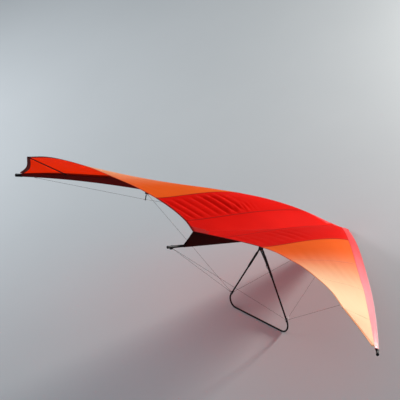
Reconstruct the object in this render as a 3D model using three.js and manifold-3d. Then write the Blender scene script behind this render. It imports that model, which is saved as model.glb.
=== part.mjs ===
// Hang glider with a flexible wing, rigged and parked on its nose and its base bar.
// Millimetres. The flight frame has its origin on the keel's axis at the nose, +X forward,
// +Y to the left and +Z up. Tables give aft (behind the nose), side (out from the keel) and up.
import * as THREE from 'three';
import Module from 'manifold-3d';
import { mergeVertices } from 'three/addons/utils/BufferGeometryUtils.js';

const wasm = await Module();
wasm.setup();

// Room left between pieces that touch
const GAP = 0.3;

// Keel and nose
const KEEL_RADIUS = 22;
const KEEL_FRONT = 30;
const KEEL_LENGTH_AFT = 4180;
const NOSE_CAP_RADIUS = 30;
const NOSE_CAP_LENGTH = 34;
const TAIL_CAP_LENGTH = 18;
const NOSE_PLATE_THICKNESS = 4;
const NOSE_PLATE_UPPER = 22.8;
const NOSE_PLATE_LOWER = -22.3;
const NOSE_PLATE_OUTLINE = [
  // aft, side
  [-22, 34],
  [52, 118],
  [128, 92],
  [176, 34],
];

// Leading edges: a gentle bow from the nose through the crossbar's end to the tip
const EDGE_RADIUS = 22;
const EDGE_START_SIDE = 42;
const EDGE_JUNCTION = { aft: 2330, side: 2680, up: 38 };
const EDGE_TIP = { aft: 3947, side: 4365, up: -151 };
const TIP_CAP_LENGTH = 14;

// Crossbar and the brackets that hold it under the keel and the leading edges
const CROSSBAR_RADIUS = 25;
const CROSSBAR_AFT = 2150;
const CROSSBAR_DROP = 52;
const CROSSBAR_CENTRE_GAP = 2.1;
const CROSSBAR_END_GAP = 62;
const CENTRE_BRACKET = { length: 70, width: 70, depth: 60 };
const EDGE_BRACKET = { length: 70, width: 46, depth: 62, belowTube: 1.6 };

// Control frame: uprights that would meet at the apex and the corners if they ran straight
const APEX = { aft: 2059, up: -134.5 };
const CORNER = { aft: 1795.5, side: 820, up: -1461 };
const BAR_RADIUS = 14;
const CORNER_RUN = 250;
const BEND_RADIUS = 140;
const FITTING_RADIUS = 20;
const FITTING_LENGTH = 60;
const GRIP_RADIUS = 19;
const GRIP_FROM = 170;
const GRIP_LENGTH = 380;
const BAR_BRACKET = { length: 60, width: 52, bottom: -216, cheek: 6, throat: -172 };

// Hang strap, its pin in the control bar's bracket, and the carabiner
const HANG_PIN = { aft: 2059, up: -200, radius: 6 };
const STRAP_WIDTH = 36;
const STRAP_THICKNESS = 8;
const STRAP_EYE_RADIUS = 13;
const STRAP_LENGTH = 380;
const CARABINER = { rod: 5, width: 76, height: 96, corner: 17 };
const RUNNING_CLEARANCE = 0.6;

// Wires
const WIRE_RADIUS = 2.2;
const WIRE_SIDES = 6;
const WIRE_TIE_GAP = 1;
const WIRE_TANG_GAP = 2;
const TAIL_TANG = { aft: 4110, length: 60, width: 24, depth: 16 };
const NOSE_WIRE_SIDE = 22;
const NOSE_WIRE_AFT = 70;
const POST_RADIUS = 9;
const POST_FOOT = -168;
const POST_TIE_IN = 10;
const POST_OUTBOARD = 14;
const SIDE_WIRE_INBOARD = 14;
const OUTER_WIRE_SIDE = 4130;
const INNER_WIRE_SIDE = 230;

// Sail: rows along the trailing edge, each with the height of its arch over the chord
const SAIL_THICKNESS = 5;
const SAIL_REST = 26;
const ARCH_PEAK = 0.19;
const ARCH_ROUND = 0.4;
const ARCH_FALL = 1.5;
const TRAILING_EDGE = [
  // side, aft, up, arch
  [0, 3708, 233, 30],
  [430, 3502, 264, 225],
  [850, 3427, 318, 280],
  [1270, 3449, 383, 260],
  [1700, 3547, 447, 205],
  [2100, 3695, 493, 145],
  [2550, 3860, 538, 95],
  [2950, 3990, 533, 80],
  [3400, 4100, 480, 30],
  [3796, 4225, 369, 8],
];
const TIP_EDGE = [
  [3796, 4225, 369, 8],
  [4010, 4035, 112, 4],
  [4365, 3947, -151, 0],
];
const COLOUR_SEAM_SIDE = 1270;
const BATTEN_SIDE = 3690;
const BATTEN_WIDTH = 16;
const BATTEN_THICKNESS = 8;
const BATTEN_SEAM_ROOM = 2;
const BATTEN_SLANT = 88;
const SLANT_FROM = 3170;
const TIP_PANEL_END = 4215;
const CHORD_STEPS = 14;
const CHORD_CROWDING = 1.6;
const POCKET_WIDTH = { nose: 45, middle: 120, tip: 45, fullBy: 700, narrowsFrom: 1800 };
const POCKET_TO = 4280;
const POCKET_WALL = 3;
const POCKET_CLEARANCE = 0.9;
const SEAM_ROOM = 1.2;
const SEAM_HALF = 1.6;
const POCKET_CROWN = 0.25;
const POCKET_OPENING = { roomAcross: 110, roomAlong: 60, depth: 80 };
const KEEL_POCKET = { from: 420, to: 3840, seamTo: 3700, wall: 3, clearance: 0.4 };
const KEEL_OPENING = { room: 40, width: 100, depth: 60 };

// Colours and finishes
const red = { color: 0xc8160c, roughness: 0.6, metalness: 0 };
const orange = { color: 0xe8641e, roughness: 0.6, metalness: 0 };
const maroon = { color: 0x4a0d0c, roughness: 0.7, metalness: 0 };
const blackTube = { color: 0x17171a, roughness: 0.4, metalness: 0.6 };
const plate = { color: 0x8d9094, roughness: 0.4, metalness: 0.8 };
const rubber = { color: 0x101010, roughness: 0.8, metalness: 0 };
const wire = { color: 0x55585c, roughness: 0.4, metalness: 0.9 };
const webbing = { color: 0x14161a, roughness: 0.9, metalness: 0 };

const glider = new THREE.Group();
const flight = new THREE.Group();
glider.add(flight);

function at(aft, side, up) {
  return new THREE.Vector3(-aft, side, up);
}

function add(name, geometry, finish, parent = flight) {
  const mesh = new THREE.Mesh(geometry, new THREE.MeshStandardMaterial(finish));
  mesh.name = name;
  parent.add(mesh);
  return mesh;
}

// The right-hand copy of a left-hand piece, with its faces turned to point out again
function mirrored(geometry) {
  const copy = geometry.index ? geometry.toNonIndexed() : geometry.clone();
  copy.scale(1, -1, 1);
  const position = copy.attributes.position;
  const a = new THREE.Vector3();
  const b = new THREE.Vector3();
  for (let i = 0; i < position.count; i += 3) {
    a.fromBufferAttribute(position, i + 1);
    b.fromBufferAttribute(position, i + 2);
    position.setXYZ(i + 1, b.x, b.y, b.z);
    position.setXYZ(i + 2, a.x, a.y, a.z);
  }
  return copy;
}

function addPair(name, geometry, finish) {
  add(`${name}_left`, geometry, finish);
  add(`${name}_right`, mirrored(geometry), finish);
}

// The turn that lays an upright piece along a run
function turnedTo(run) {
  return new THREE.Quaternion().setFromUnitVectors(new THREE.Vector3(0, 1, 0), run.clone().normalize());
}

function rod(from, to, radius, sides = 16) {
  const run = to.clone().sub(from);
  const geometry = new THREE.CylinderGeometry(radius, radius, run.length(), sides);
  geometry.applyQuaternion(turnedTo(run));
  geometry.translate(...from.clone().add(to).multiplyScalar(0.5).toArray());
  return geometry;
}

// A rod that stops short of each end point by its own margin
function strut(from, to, radius, marginFrom, marginTo, sides = 16) {
  const direction = to.clone().sub(from).normalize();
  const start = from.clone().addScaledVector(direction, marginFrom);
  const end = to.clone().addScaledVector(direction, -marginTo);
  return rod(start, end, radius, sides);
}

function tubeAlong(curve, radius, sides, steps) {
  const circle = new THREE.Shape().absarc(0, 0, radius, 0, Math.PI * 2);
  return new THREE.ExtrudeGeometry(circle, { extrudePath: curve, steps, curveSegments: sides / 2 });
}

function block(length, width, height, centre) {
  return new THREE.BoxGeometry(length, width, height).translate(...centre.toArray());
}

// A flat outline drawn in plan, extruded upward from a height
function planPlate(points, thickness, bottom) {
  const shape = new THREE.Shape(points.map(([aft, side]) => new THREE.Vector2(-aft, side)));
  return new THREE.ExtrudeGeometry(shape, { depth: thickness, bevelEnabled: false }).translate(0, 0, bottom);
}

// A closed body from its points and the triangles between them
function bodyFrom(points, triangles) {
  const geometry = new THREE.BufferGeometry();
  geometry.setAttribute('position', new THREE.Float32BufferAttribute(points.flatMap((p) => p.toArray()), 3));
  geometry.setIndex(triangles.flat());
  return geometry;
}

function quad(a, b, c, d) {
  return [[a, b, c], [a, c, d]];
}

function solid(geometry) {
  const bare = geometry.clone();
  bare.deleteAttribute('normal');
  bare.deleteAttribute('uv');
  const merged = mergeVertices(bare, 1e-3);
  return new wasm.Manifold(new wasm.Mesh({
    numProp: 3,
    vertProperties: new Float32Array(merged.attributes.position.array),
    triVerts: new Uint32Array(merged.index.array),
  }));
}

function cut(geometry, cutters) {
  let body = solid(geometry);
  for (const cutter of cutters) {
    body = body.subtract(solid(cutter));
  }
  const mesh = body.getMesh();
  const result = new THREE.BufferGeometry();
  result.setAttribute('position', new THREE.Float32BufferAttribute(mesh.vertProperties, 3));
  result.setIndex(Array.from(mesh.triVerts));
  return result;
}

// Leading edge: aft as a parabola in side, through the nose, the junction and the tip
function throughNose(at1, value1, at2, value2) {
  const square = (value2 / at2 - value1 / at1) / (at2 - at1);
  const slope = value1 / at1 - square * at1;
  return (side) => slope * side + square * side * side;
}

// A height that leaves the nose level and passes through the junction and the tip
function levelAtNose(at1, value1, at2, value2) {
  const cube = (value2 / at2 ** 2 - value1 / at1 ** 2) / (at2 - at1);
  const square = value1 / at1 ** 2 - cube * at1;
  return (side) => side ** 2 * (square + cube * side);
}

const edgeAft = throughNose(EDGE_JUNCTION.side, EDGE_JUNCTION.aft, EDGE_TIP.side, EDGE_TIP.aft);
const edgeUp = levelAtNose(EDGE_JUNCTION.side, EDGE_JUNCTION.up, EDGE_TIP.side, EDGE_TIP.up);

function edgePoint(side) {
  return at(edgeAft(side), side, edgeUp(side));
}

function edgeDirection(side) {
  return edgePoint(side + 1).sub(edgePoint(side - 1)).normalize();
}

// Sail surface
const trailingCurve = new THREE.CatmullRomCurve3(TRAILING_EDGE.map(([side, aft, up]) => at(aft, side, up)));
const tipCurve = new THREE.CatmullRomCurve3(TIP_EDGE.map(([side, aft, up]) => at(aft, side, up)));
const archCurve = new THREE.CatmullRomCurve3(TRAILING_EDGE.map(([side, , , arch]) => at(0, side, arch)));
const tipArchCurve = new THREE.CatmullRomCurve3(TIP_EDGE.map(([side, , , arch]) => at(0, side, arch)));

// The point of a curve that lies at a given distance out to the side
function atSide(curve, side) {
  let low = 0;
  let high = 1;
  for (let i = 0; i < 40; i += 1) {
    const middle = (low + high) / 2;
    if (curve.getPoint(middle).y < side) low = middle;
    else high = middle;
  }
  return curve.getPoint((low + high) / 2);
}

const tipCornerSide = TIP_EDGE[0][0];

// Height of the arch over the chord, as a part of its greatest height: blown up round behind the
// leading edge, and from the peak a slow fall with no slope at the trailing edge
function archShape(chord) {
  if (chord < ARCH_PEAK) return (1 - (1 - chord / ARCH_PEAK) ** 2) ** ARCH_ROUND;
  const past = Math.min(1, (chord - ARCH_PEAK) / (1 - ARCH_PEAK));
  return (1 - past) ** ARCH_FALL * (1 + ARCH_FALL * past);
}

// A point of the sail's middle surface, at a fraction of the chord behind the leading edge
function sailPoint(side, chord) {
  const front = edgePoint(side);
  front.z += SAIL_REST;
  const inTip = side > tipCornerSide;
  const back = atSide(inTip ? tipCurve : trailingCurve, side);
  const arch = atSide(inTip ? tipArchCurve : archCurve, side).z;
  const point = front.lerp(back, chord);
  point.z += arch * archShape(chord);
  return point;
}

function pocketWidth(side) {
  const { nose, middle, tip, fullBy, narrowsFrom } = POCKET_WIDTH;
  const opening = THREE.MathUtils.smoothstep(side, 0, fullBy);
  const closing = THREE.MathUtils.smoothstep(side, narrowsFrom, POCKET_TO);
  return THREE.MathUtils.lerp(THREE.MathUtils.lerp(nose, middle, opening), tip, closing);
}

// Fraction of the chord at which the pocket's seam lies
function seamChord(side) {
  const direction = edgeDirection(side);
  const alongKeel = pocketWidth(side) / Math.abs(direction.y);
  const back = atSide(side > tipCornerSide ? tipCurve : trailingCurve, side);
  return alongKeel / (-back.x - edgeAft(side));
}

// The tip batten slants outwards to the corner of the trailing edge, and the cloth on both sides
// of it follows. The part runs from 0 at the leading edge's pocket to 1 at the trailing edge.
function slanted(side, part) {
  const { smoothstep } = THREE.MathUtils;
  const follows = smoothstep(side, SLANT_FROM, BATTEN_SIDE)
    * (1 - smoothstep(side, BATTEN_SIDE + BATTEN_WIDTH, TIP_PANEL_END));
  return side + BATTEN_SLANT * part * follows;
}

// A curved plate over a grid of sides and chords, level with the top of the cloth
function sailPanel(sides, thickness, seamGap = 0) {
  const points = [];
  const columns = CHORD_STEPS + 1;
  for (const layer of [0.5, -0.5]) {
    for (const side of sides) {
      const first = seamChord(side);
      for (let j = 0; j < columns; j += 1) {
        const part = (j / CHORD_STEPS) ** CHORD_CROWDING;
        const point = sailPoint(slanted(side, part), first + (1 - first) * part);
        point.z += layer * thickness + (SAIL_THICKNESS - thickness) / 2;
        if (j === 0) point.x -= seamGap;
        points.push(point);
      }
    }
  }
  const rows = sides.length;
  const top = (i, j) => i * columns + j;
  const low = (i, j) => (rows + i) * columns + j;
  const triangles = [];
  for (let i = 0; i + 1 < rows; i += 1) {
    for (let j = 0; j + 1 < columns; j += 1) {
      triangles.push(...quad(top(i, j), top(i + 1, j), top(i + 1, j + 1), top(i, j + 1)));
      triangles.push(...quad(low(i, j), low(i, j + 1), low(i + 1, j + 1), low(i + 1, j)));
    }
    triangles.push(...quad(top(i, 0), low(i, 0), low(i + 1, 0), top(i + 1, 0)));
    triangles.push(...quad(top(i, CHORD_STEPS), top(i + 1, CHORD_STEPS), low(i + 1, CHORD_STEPS),
      low(i, CHORD_STEPS)));
  }
  for (let j = 0; j + 1 < columns; j += 1) {
    triangles.push(...quad(top(0, j), top(0, j + 1), low(0, j + 1), low(0, j)));
    const last = rows - 1;
    triangles.push(...quad(top(last, j), low(last, j), low(last, j + 1), top(last, j + 1)));
  }
  return bodyFrom(points, triangles);
}

function stations(from, to, count) {
  return Array.from({ length: count }, (unused, i) => from + (to - from) * i / (count - 1));
}

// Cloth sleeve: a drop-shaped outline round a tube, drawn out to a seam, with a wall all round
const SLEEVE_ARC_STEPS = 8;
const SLEEVE_OPENING = Math.PI / 3;
const SLEEVE_APOTHEM = Math.cos((Math.PI - SLEEVE_OPENING) / SLEEVE_ARC_STEPS);

function dropOutline(centre, seam, axis, radius, halfSeam, crown, shortfall) {
  const run = seam.clone().sub(centre);
  const lean = run.dot(axis);
  run.addScaledVector(axis, -lean);
  const full = run.length();
  const reach = full - shortfall;
  const out = run.normalize();
  const across = new THREE.Vector3().crossVectors(axis, out).normalize();
  const flat = [];
  for (const part of [0, 0.34, 0.67]) {
    const along = THREE.MathUtils.lerp(reach, radius * Math.cos(SLEEVE_OPENING), part);
    const side = THREE.MathUtils.lerp(halfSeam, radius * Math.sin(SLEEVE_OPENING), part);
    flat.push([along, side + crown * 4 * part * (1 - part)]);
  }
  for (let i = 0; i <= SLEEVE_ARC_STEPS; i += 1) {
    const angle = SLEEVE_OPENING + 2 * (Math.PI - SLEEVE_OPENING) * i / SLEEVE_ARC_STEPS;
    flat.push([radius * Math.cos(angle), radius * Math.sin(angle)]);
  }
  flat.push([reach, -halfSeam]);
  return flat.map(([along, side]) => centre.clone()
    .addScaledVector(out, along)
    .addScaledVector(across, side)
    .addScaledVector(axis, lean * Math.max(0, along) / full));
}

function sleeve(sections, radius, wall) {
  const points = [];
  for (const { centre, seam, axis, crown } of sections) {
    points.push(...dropOutline(centre, seam, axis, radius, SEAM_HALF, crown, 0));
    points.push(...dropOutline(centre, seam, axis, radius - wall, SEAM_HALF / 2, crown * 0.85, wall * 6));
  }
  const n = points.length / sections.length / 2;
  const outer = (k, i) => 2 * n * k + i % n;
  const inner = (k, i) => 2 * n * k + n + i % n;
  const triangles = [];
  for (let i = 0; i < n; i += 1) {
    for (let k = 0; k + 1 < sections.length; k += 1) {
      triangles.push(...quad(outer(k, i), outer(k, i + 1), outer(k + 1, i + 1), outer(k + 1, i)));
      triangles.push(...quad(inner(k, i), inner(k + 1, i), inner(k + 1, i + 1), inner(k, i + 1)));
    }
    const last = sections.length - 1;
    triangles.push(...quad(outer(0, i), inner(0, i), inner(0, i + 1), outer(0, i + 1)));
    triangles.push(...quad(outer(last, i), outer(last, i + 1), inner(last, i + 1), inner(last, i)));
  }
  return bodyFrom(points, triangles);
}

// Keel tube with its end caps
add('keel_tube', rod(at(-KEEL_FRONT + GAP, 0, 0), at(KEEL_LENGTH_AFT, 0, 0), KEEL_RADIUS, 24), blackTube);
add('tail_cap', rod(at(KEEL_LENGTH_AFT + GAP, 0, 0), at(KEEL_LENGTH_AFT + TAIL_CAP_LENGTH, 0, 0),
  KEEL_RADIUS + 2, 24), rubber);
const capProfile = new THREE.Path().moveTo(0, 0).lineTo(NOSE_CAP_RADIUS, 0)
  .absarc(0, NOSE_CAP_LENGTH - NOSE_CAP_RADIUS, NOSE_CAP_RADIUS, 0, Math.PI / 2);
const noseCap = new THREE.LatheGeometry(capProfile.getPoints(10), 24).rotateZ(-Math.PI / 2)
  .translate(KEEL_FRONT, 0, 0);
add('nose_cap', noseCap, rubber);

// Nose plates clamp the keel and both leading edges from above and below
const otherHalf = NOSE_PLATE_OUTLINE.map(([aft, side]) => [aft, -side]).reverse();
const plateOutline = [...NOSE_PLATE_OUTLINE, ...otherHalf];
add('nose_plate_upper', planPlate(plateOutline, NOSE_PLATE_THICKNESS, NOSE_PLATE_UPPER), plate);
const lowerPlateBottom = NOSE_PLATE_LOWER - NOSE_PLATE_THICKNESS;
add('nose_plate_lower', planPlate(plateOutline, NOSE_PLATE_THICKNESS, lowerPlateBottom), plate);

// Leading edge tubes and their tip caps
const edgeSides = stations(EDGE_START_SIDE, EDGE_TIP.side, 25);
const edgeCurve = new THREE.CatmullRomCurve3(edgeSides.map(edgePoint));
addPair('leading_edge_tube', tubeAlong(edgeCurve, EDGE_RADIUS, 16, 30), blackTube);
const tipDirection = edgeDirection(EDGE_TIP.side);
const tipEnd = edgePoint(EDGE_TIP.side);
addPair('tip_cap', rod(tipEnd.clone().addScaledVector(tipDirection, 2 * GAP),
  tipEnd.clone().addScaledVector(tipDirection, TIP_CAP_LENGTH), EDGE_RADIUS + 1, 20), rubber);

// Crossbar: two tubes between a bracket under the keel and brackets under the leading edges
const centreTop = -KEEL_RADIUS - GAP;
add('crossbar_centre_bracket', block(CENTRE_BRACKET.length, CENTRE_BRACKET.width, CENTRE_BRACKET.depth,
  at(CROSSBAR_AFT, 0, centreTop - CENTRE_BRACKET.depth / 2)), plate);
const bracketTurn = Math.atan2(edgeDirection(EDGE_JUNCTION.side).x, edgeDirection(EDGE_JUNCTION.side).y);
const bracketTop = EDGE_JUNCTION.up - EDGE_RADIUS - EDGE_BRACKET.belowTube;
const edgeBracket = new THREE.BoxGeometry(EDGE_BRACKET.width, EDGE_BRACKET.length, EDGE_BRACKET.depth)
  .rotateZ(-bracketTurn)
  .translate(-EDGE_JUNCTION.aft, EDGE_JUNCTION.side, bracketTop - EDGE_BRACKET.depth / 2);
addPair('leading_edge_bracket', edgeBracket, plate);
const junctionUp = bracketTop - EDGE_BRACKET.depth / 2;
const crossbarInner = at(CROSSBAR_AFT, CENTRE_BRACKET.width / 2 + CROSSBAR_CENTRE_GAP, -CROSSBAR_DROP);
const crossbarOuter = at(EDGE_JUNCTION.aft, EDGE_JUNCTION.side, junctionUp);
addPair('crossbar', strut(crossbarInner, crossbarOuter, CROSSBAR_RADIUS, 0, CROSSBAR_END_GAP, 20), blackTube);

// Control bar bracket: an upside-down U whose cheeks carry the hang strap's pin
const bracketHalf = BAR_BRACKET.width / 2;
const cheekInner = bracketHalf - BAR_BRACKET.cheek;
const barBracketShape = new THREE.Shape([
  [-bracketHalf, centreTop],
  [bracketHalf, centreTop],
  [bracketHalf, BAR_BRACKET.bottom],
  [cheekInner, BAR_BRACKET.bottom],
  [cheekInner, BAR_BRACKET.throat],
  [-cheekInner, BAR_BRACKET.throat],
  [-cheekInner, BAR_BRACKET.bottom],
  [-bracketHalf, BAR_BRACKET.bottom],
].map(([side, up]) => new THREE.Vector2(side, up)));
const barBracketRun = { depth: BAR_BRACKET.length, bevelEnabled: false };
const barBracket = new THREE.ExtrudeGeometry(barBracketShape, barBracketRun)
  .rotateX(Math.PI / 2)
  .rotateZ(Math.PI / 2)
  .translate(-APEX.aft - BAR_BRACKET.length / 2, 0, 0);
add('control_bar_bracket', barBracket, plate);
const pinHalf = cheekInner - GAP;
add('hang_pin', rod(at(HANG_PIN.aft, pinHalf, HANG_PIN.up), at(HANG_PIN.aft, -pinHalf, HANG_PIN.up),
  HANG_PIN.radius, 24), plate);

// Control frame: uprights with their grips, a fitting for the wires, bent corners and the base bar
const apex = at(APEX.aft, 0, APEX.up);
const corner = at(CORNER.aft, CORNER.side, CORNER.up);
const uprightDirection = corner.clone().sub(apex).normalize();
const uprightReach = corner.distanceTo(apex);
const bendStart = uprightReach - CORNER_RUN;
const fittingStart = bendStart - FITTING_LENGTH;
const endTilt = BAR_RADIUS * Math.sqrt(1 - uprightDirection.y ** 2);
const uprightStart = (bracketHalf + GAP + endTilt) / uprightDirection.y;
const onUpright = (reach) => apex.clone().addScaledVector(uprightDirection, reach);
addPair('upright', rod(onUpright(uprightStart), onUpright(fittingStart - GAP), BAR_RADIUS, 20), blackTube);
addPair('wire_fitting', rod(onUpright(fittingStart), onUpright(bendStart - GAP), FITTING_RADIUS, 20), plate);
const gripBore = (BAR_RADIUS + GAP) / Math.cos(Math.PI / 20);
const gripProfile = [
  [gripBore, 0],
  [GRIP_RADIUS, 0],
  [GRIP_RADIUS, GRIP_LENGTH],
  [gripBore, GRIP_LENGTH],
  [gripBore, 0],
].map(([x, y]) => new THREE.Vector2(x, y));
const grip = new THREE.LatheGeometry(gripProfile, 20)
  .applyQuaternion(turnedTo(uprightDirection))
  .translate(...onUpright(GRIP_FROM).toArray());
addPair('upright_grip', grip, rubber);

const bendIn = onUpright(bendStart);
const bendOut = at(CORNER.aft, CORNER.side - CORNER_RUN, CORNER.up);
const inward = new THREE.Vector3(0, -1, 0);
const turnHalf = (Math.PI - Math.acos(-uprightDirection.dot(inward))) / 2;
const trim = BEND_RADIUS * Math.tan(turnHalf);
const arcStart = corner.clone().addScaledVector(uprightDirection, -trim);
const arcEnd = corner.clone().addScaledVector(inward, trim);
const handle = 4 / 3 * Math.tan(turnHalf / 2) * BEND_RADIUS;
const bend = new THREE.CurvePath();
bend.add(new THREE.LineCurve3(bendIn, arcStart));
bend.add(new THREE.CubicBezierCurve3(arcStart, arcStart.clone().addScaledVector(uprightDirection, handle),
  arcEnd.clone().addScaledVector(inward, -handle), arcEnd));
addPair('corner_bend', tubeAlong(bend, BAR_RADIUS, 20, 16), blackTube);
const barHalf = arcEnd.y - GAP;
add('base_bar', rod(at(CORNER.aft, barHalf, CORNER.up), at(CORNER.aft, -barHalf, CORNER.up), BAR_RADIUS, 20),
  blackTube);

// Main wires between the control frame's fittings, the nose, the keel's tail and the leading edges
const fitting = onUpright(bendStart - FITTING_LENGTH / 2);
const tailTangTop = -KEEL_RADIUS - GAP;
add('tail_tang', block(TAIL_TANG.length, TAIL_TANG.width, TAIL_TANG.depth,
  at(TAIL_TANG.aft, 0, tailTangTop - TAIL_TANG.depth / 2)), plate);
// How far from a round bar's axis a wire has to stop so that it only touches the bar
function wireMargin(from, to, axis, radius) {
  const slant = Math.abs(to.clone().sub(from).normalize().dot(axis));
  return (radius + GAP + WIRE_RADIUS * slant) / Math.sqrt(1 - slant ** 2);
}

function wireToFitting(tie, margin) {
  return strut(tie, fitting, WIRE_RADIUS, margin, wireMargin(tie, fitting, uprightDirection, FITTING_RADIUS),
    WIRE_SIDES);
}

const noseTie = at(NOSE_WIRE_AFT, NOSE_WIRE_SIDE, lowerPlateBottom - GAP - WIRE_RADIUS);
addPair('front_wire', wireToFitting(noseTie, WIRE_TIE_GAP), wire);
const tailTie = at(TAIL_TANG.aft - TAIL_TANG.length / 2, 0, tailTangTop - TAIL_TANG.depth / 2)
  .add(new THREE.Vector3(0, TAIL_TANG.width / 3, 0));
addPair('rear_wire', wireToFitting(tailTie, WIRE_TANG_GAP), wire);
const bracketBottom = bracketTop - EDGE_BRACKET.depth;
const sideTie = at(EDGE_JUNCTION.aft, EDGE_JUNCTION.side - SIDE_WIRE_INBOARD,
  bracketBottom - GAP - WIRE_RADIUS);
addPair('side_wire', wireToFitting(sideTie, WIRE_TIE_GAP), wire);

// Deflexors: a short post under each junction, with a wire from the tip to the nose over its foot
const postSide = EDGE_JUNCTION.side + POST_OUTBOARD;
const postRoot = at(EDGE_JUNCTION.aft, postSide, bracketBottom - GAP);
const postFoot = at(EDGE_JUNCTION.aft, postSide, POST_FOOT);
const postDirection = postFoot.clone().sub(postRoot).normalize();
const postTie = postFoot.clone().addScaledVector(postDirection, -POST_TIE_IN);
addPair('deflexor_post', rod(postRoot, postFoot, POST_RADIUS, 12), blackTube);
const pocketBore = (EDGE_RADIUS + POCKET_CLEARANCE) / SLEEVE_APOTHEM;
const wireBelowEdge = pocketBore + POCKET_WALL + WIRE_RADIUS + 2 * GAP;
const tieToEdge = (side) => edgePoint(side).add(new THREE.Vector3(0, 0, -wireBelowEdge));
for (const [name, side] of [['outer', OUTER_WIRE_SIDE], ['inner', INNER_WIRE_SIDE]]) {
  const edgeTie = tieToEdge(side);
  addPair(`deflexor_wire_${name}`, strut(edgeTie, postTie, WIRE_RADIUS, WIRE_TIE_GAP,
    wireMargin(edgeTie, postTie, postDirection, POST_RADIUS), WIRE_SIDES), wire);
}

// Sail panels, from the keel out: red, orange, tip batten, tip
const innerSides = [GAP / 2, 130, 280, 430, 640, 850, 1060, COLOUR_SEAM_SIDE - GAP / 2];
const outerSides = [COLOUR_SEAM_SIDE + GAP / 2, 1480, 1700, 1900, 2100, 2320, 2550, 2750, 2950, 3170, 3400,
  3560, BATTEN_SIDE];
const battenEnd = BATTEN_SIDE + BATTEN_WIDTH;
const tipSides = [battenEnd + GAP, 3750, tipCornerSide, 3900, 4010, 4120, TIP_PANEL_END];
addPair('sail_inner', sailPanel(innerSides, SAIL_THICKNESS, GAP), red);
addPair('sail_outer', sailPanel(outerSides, SAIL_THICKNESS, GAP), orange);
addPair('tip_batten', sailPanel([BATTEN_SIDE + GAP, battenEnd], BATTEN_THICKNESS, BATTEN_SEAM_ROOM), rubber);
addPair('sail_tip', sailPanel(tipSides, SAIL_THICKNESS, GAP), orange);

// Leading edge pockets, with an opening below each junction bracket
const pocketSides = [...innerSides.slice(1, -1), ...outerSides, ...tipSides.slice(1), POCKET_TO];
const edgeSections = pocketSides.map((side) => {
  const centre = edgePoint(side);
  const seam = sailPoint(side, seamChord(side));
  const towardsTube = centre.clone().sub(seam).normalize();
  seam.addScaledVector(towardsTube, SEAM_ROOM + SAIL_THICKNESS / 2 * Math.abs(towardsTube.z));
  return { centre, seam, axis: edgeDirection(side), crown: POCKET_CROWN * pocketWidth(side) };
});
const pocketOpening = new THREE.BoxGeometry(EDGE_BRACKET.width + POCKET_OPENING.roomAcross,
  EDGE_BRACKET.length + POCKET_OPENING.roomAlong, POCKET_OPENING.depth)
  .rotateZ(-bracketTurn)
  .translate(-EDGE_JUNCTION.aft, EDGE_JUNCTION.side,
    EDGE_JUNCTION.up - (EDGE_RADIUS + POCKET_OPENING.depth) / 2);
const edgeSleeve = sleeve(edgeSections, pocketBore + POCKET_WALL, POCKET_WALL);
addPair('leading_edge_pocket', cut(edgeSleeve, [pocketOpening]), red);

// Keel pocket: a fin from the keel up to the middle of the sail
const keelSections = stations(0, 1, 10).map((part) => {
  const { from, to, seamTo } = KEEL_POCKET;
  const root = sailPoint(0, THREE.MathUtils.lerp(from, seamTo, part) / TRAILING_EDGE[0][1]);
  root.z -= SAIL_THICKNESS / 2 + GAP;
  return { centre: at(THREE.MathUtils.lerp(from, to, part), 0, 0), seam: root, axis: at(1, 0, 0), crown: 0 };
});
const keelBore = (KEEL_RADIUS + KEEL_POCKET.clearance) / SLEEVE_APOTHEM;
const keelSleeve = sleeve(keelSections, keelBore + KEEL_POCKET.wall, KEEL_POCKET.wall);
const keelOpenings = [[APEX.aft, BAR_BRACKET.length], [CROSSBAR_AFT, CENTRE_BRACKET.length]]
  .map(([aft, length]) => block(length + KEEL_OPENING.room, KEEL_OPENING.width, KEEL_OPENING.depth,
    at(aft, 0, -(KEEL_RADIUS + KEEL_OPENING.depth) / 2)));
add('keel_pocket', cut(keelSleeve, keelOpenings), maroon);

// Hang strap: webbing sewn into an eye at each end, hanging plumb from its pin
const hanging = new THREE.Group();
hanging.position.copy(at(HANG_PIN.aft, 0, HANG_PIN.up));
flight.add(hanging);
const eyeHalfAngle = Math.asin(STRAP_THICKNESS / 2 / STRAP_EYE_RADIUS);
const strapShape = new THREE.Shape();
strapShape.absarc(0, 0, STRAP_EYE_RADIUS, -Math.PI / 2 + eyeHalfAngle, Math.PI * 1.5 - eyeHalfAngle);
strapShape.absarc(0, -STRAP_LENGTH, STRAP_EYE_RADIUS, Math.PI / 2 + eyeHalfAngle,
  Math.PI * 2.5 - eyeHalfAngle);
strapShape.closePath();
for (const [up, radius] of [[0, HANG_PIN.radius], [-STRAP_LENGTH, CARABINER.rod]]) {
  strapShape.holes.push(new THREE.Path().absarc(0, up, radius + RUNNING_CLEARANCE, 0, Math.PI * 2));
}
const strapRun = { depth: STRAP_WIDTH, bevelEnabled: false, curveSegments: 12 };
const strap = new THREE.ExtrudeGeometry(strapShape, strapRun)
  .rotateX(Math.PI / 2)
  .translate(0, STRAP_WIDTH / 2, 0);
add('hang_strap', strap, webbing, hanging);

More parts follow.
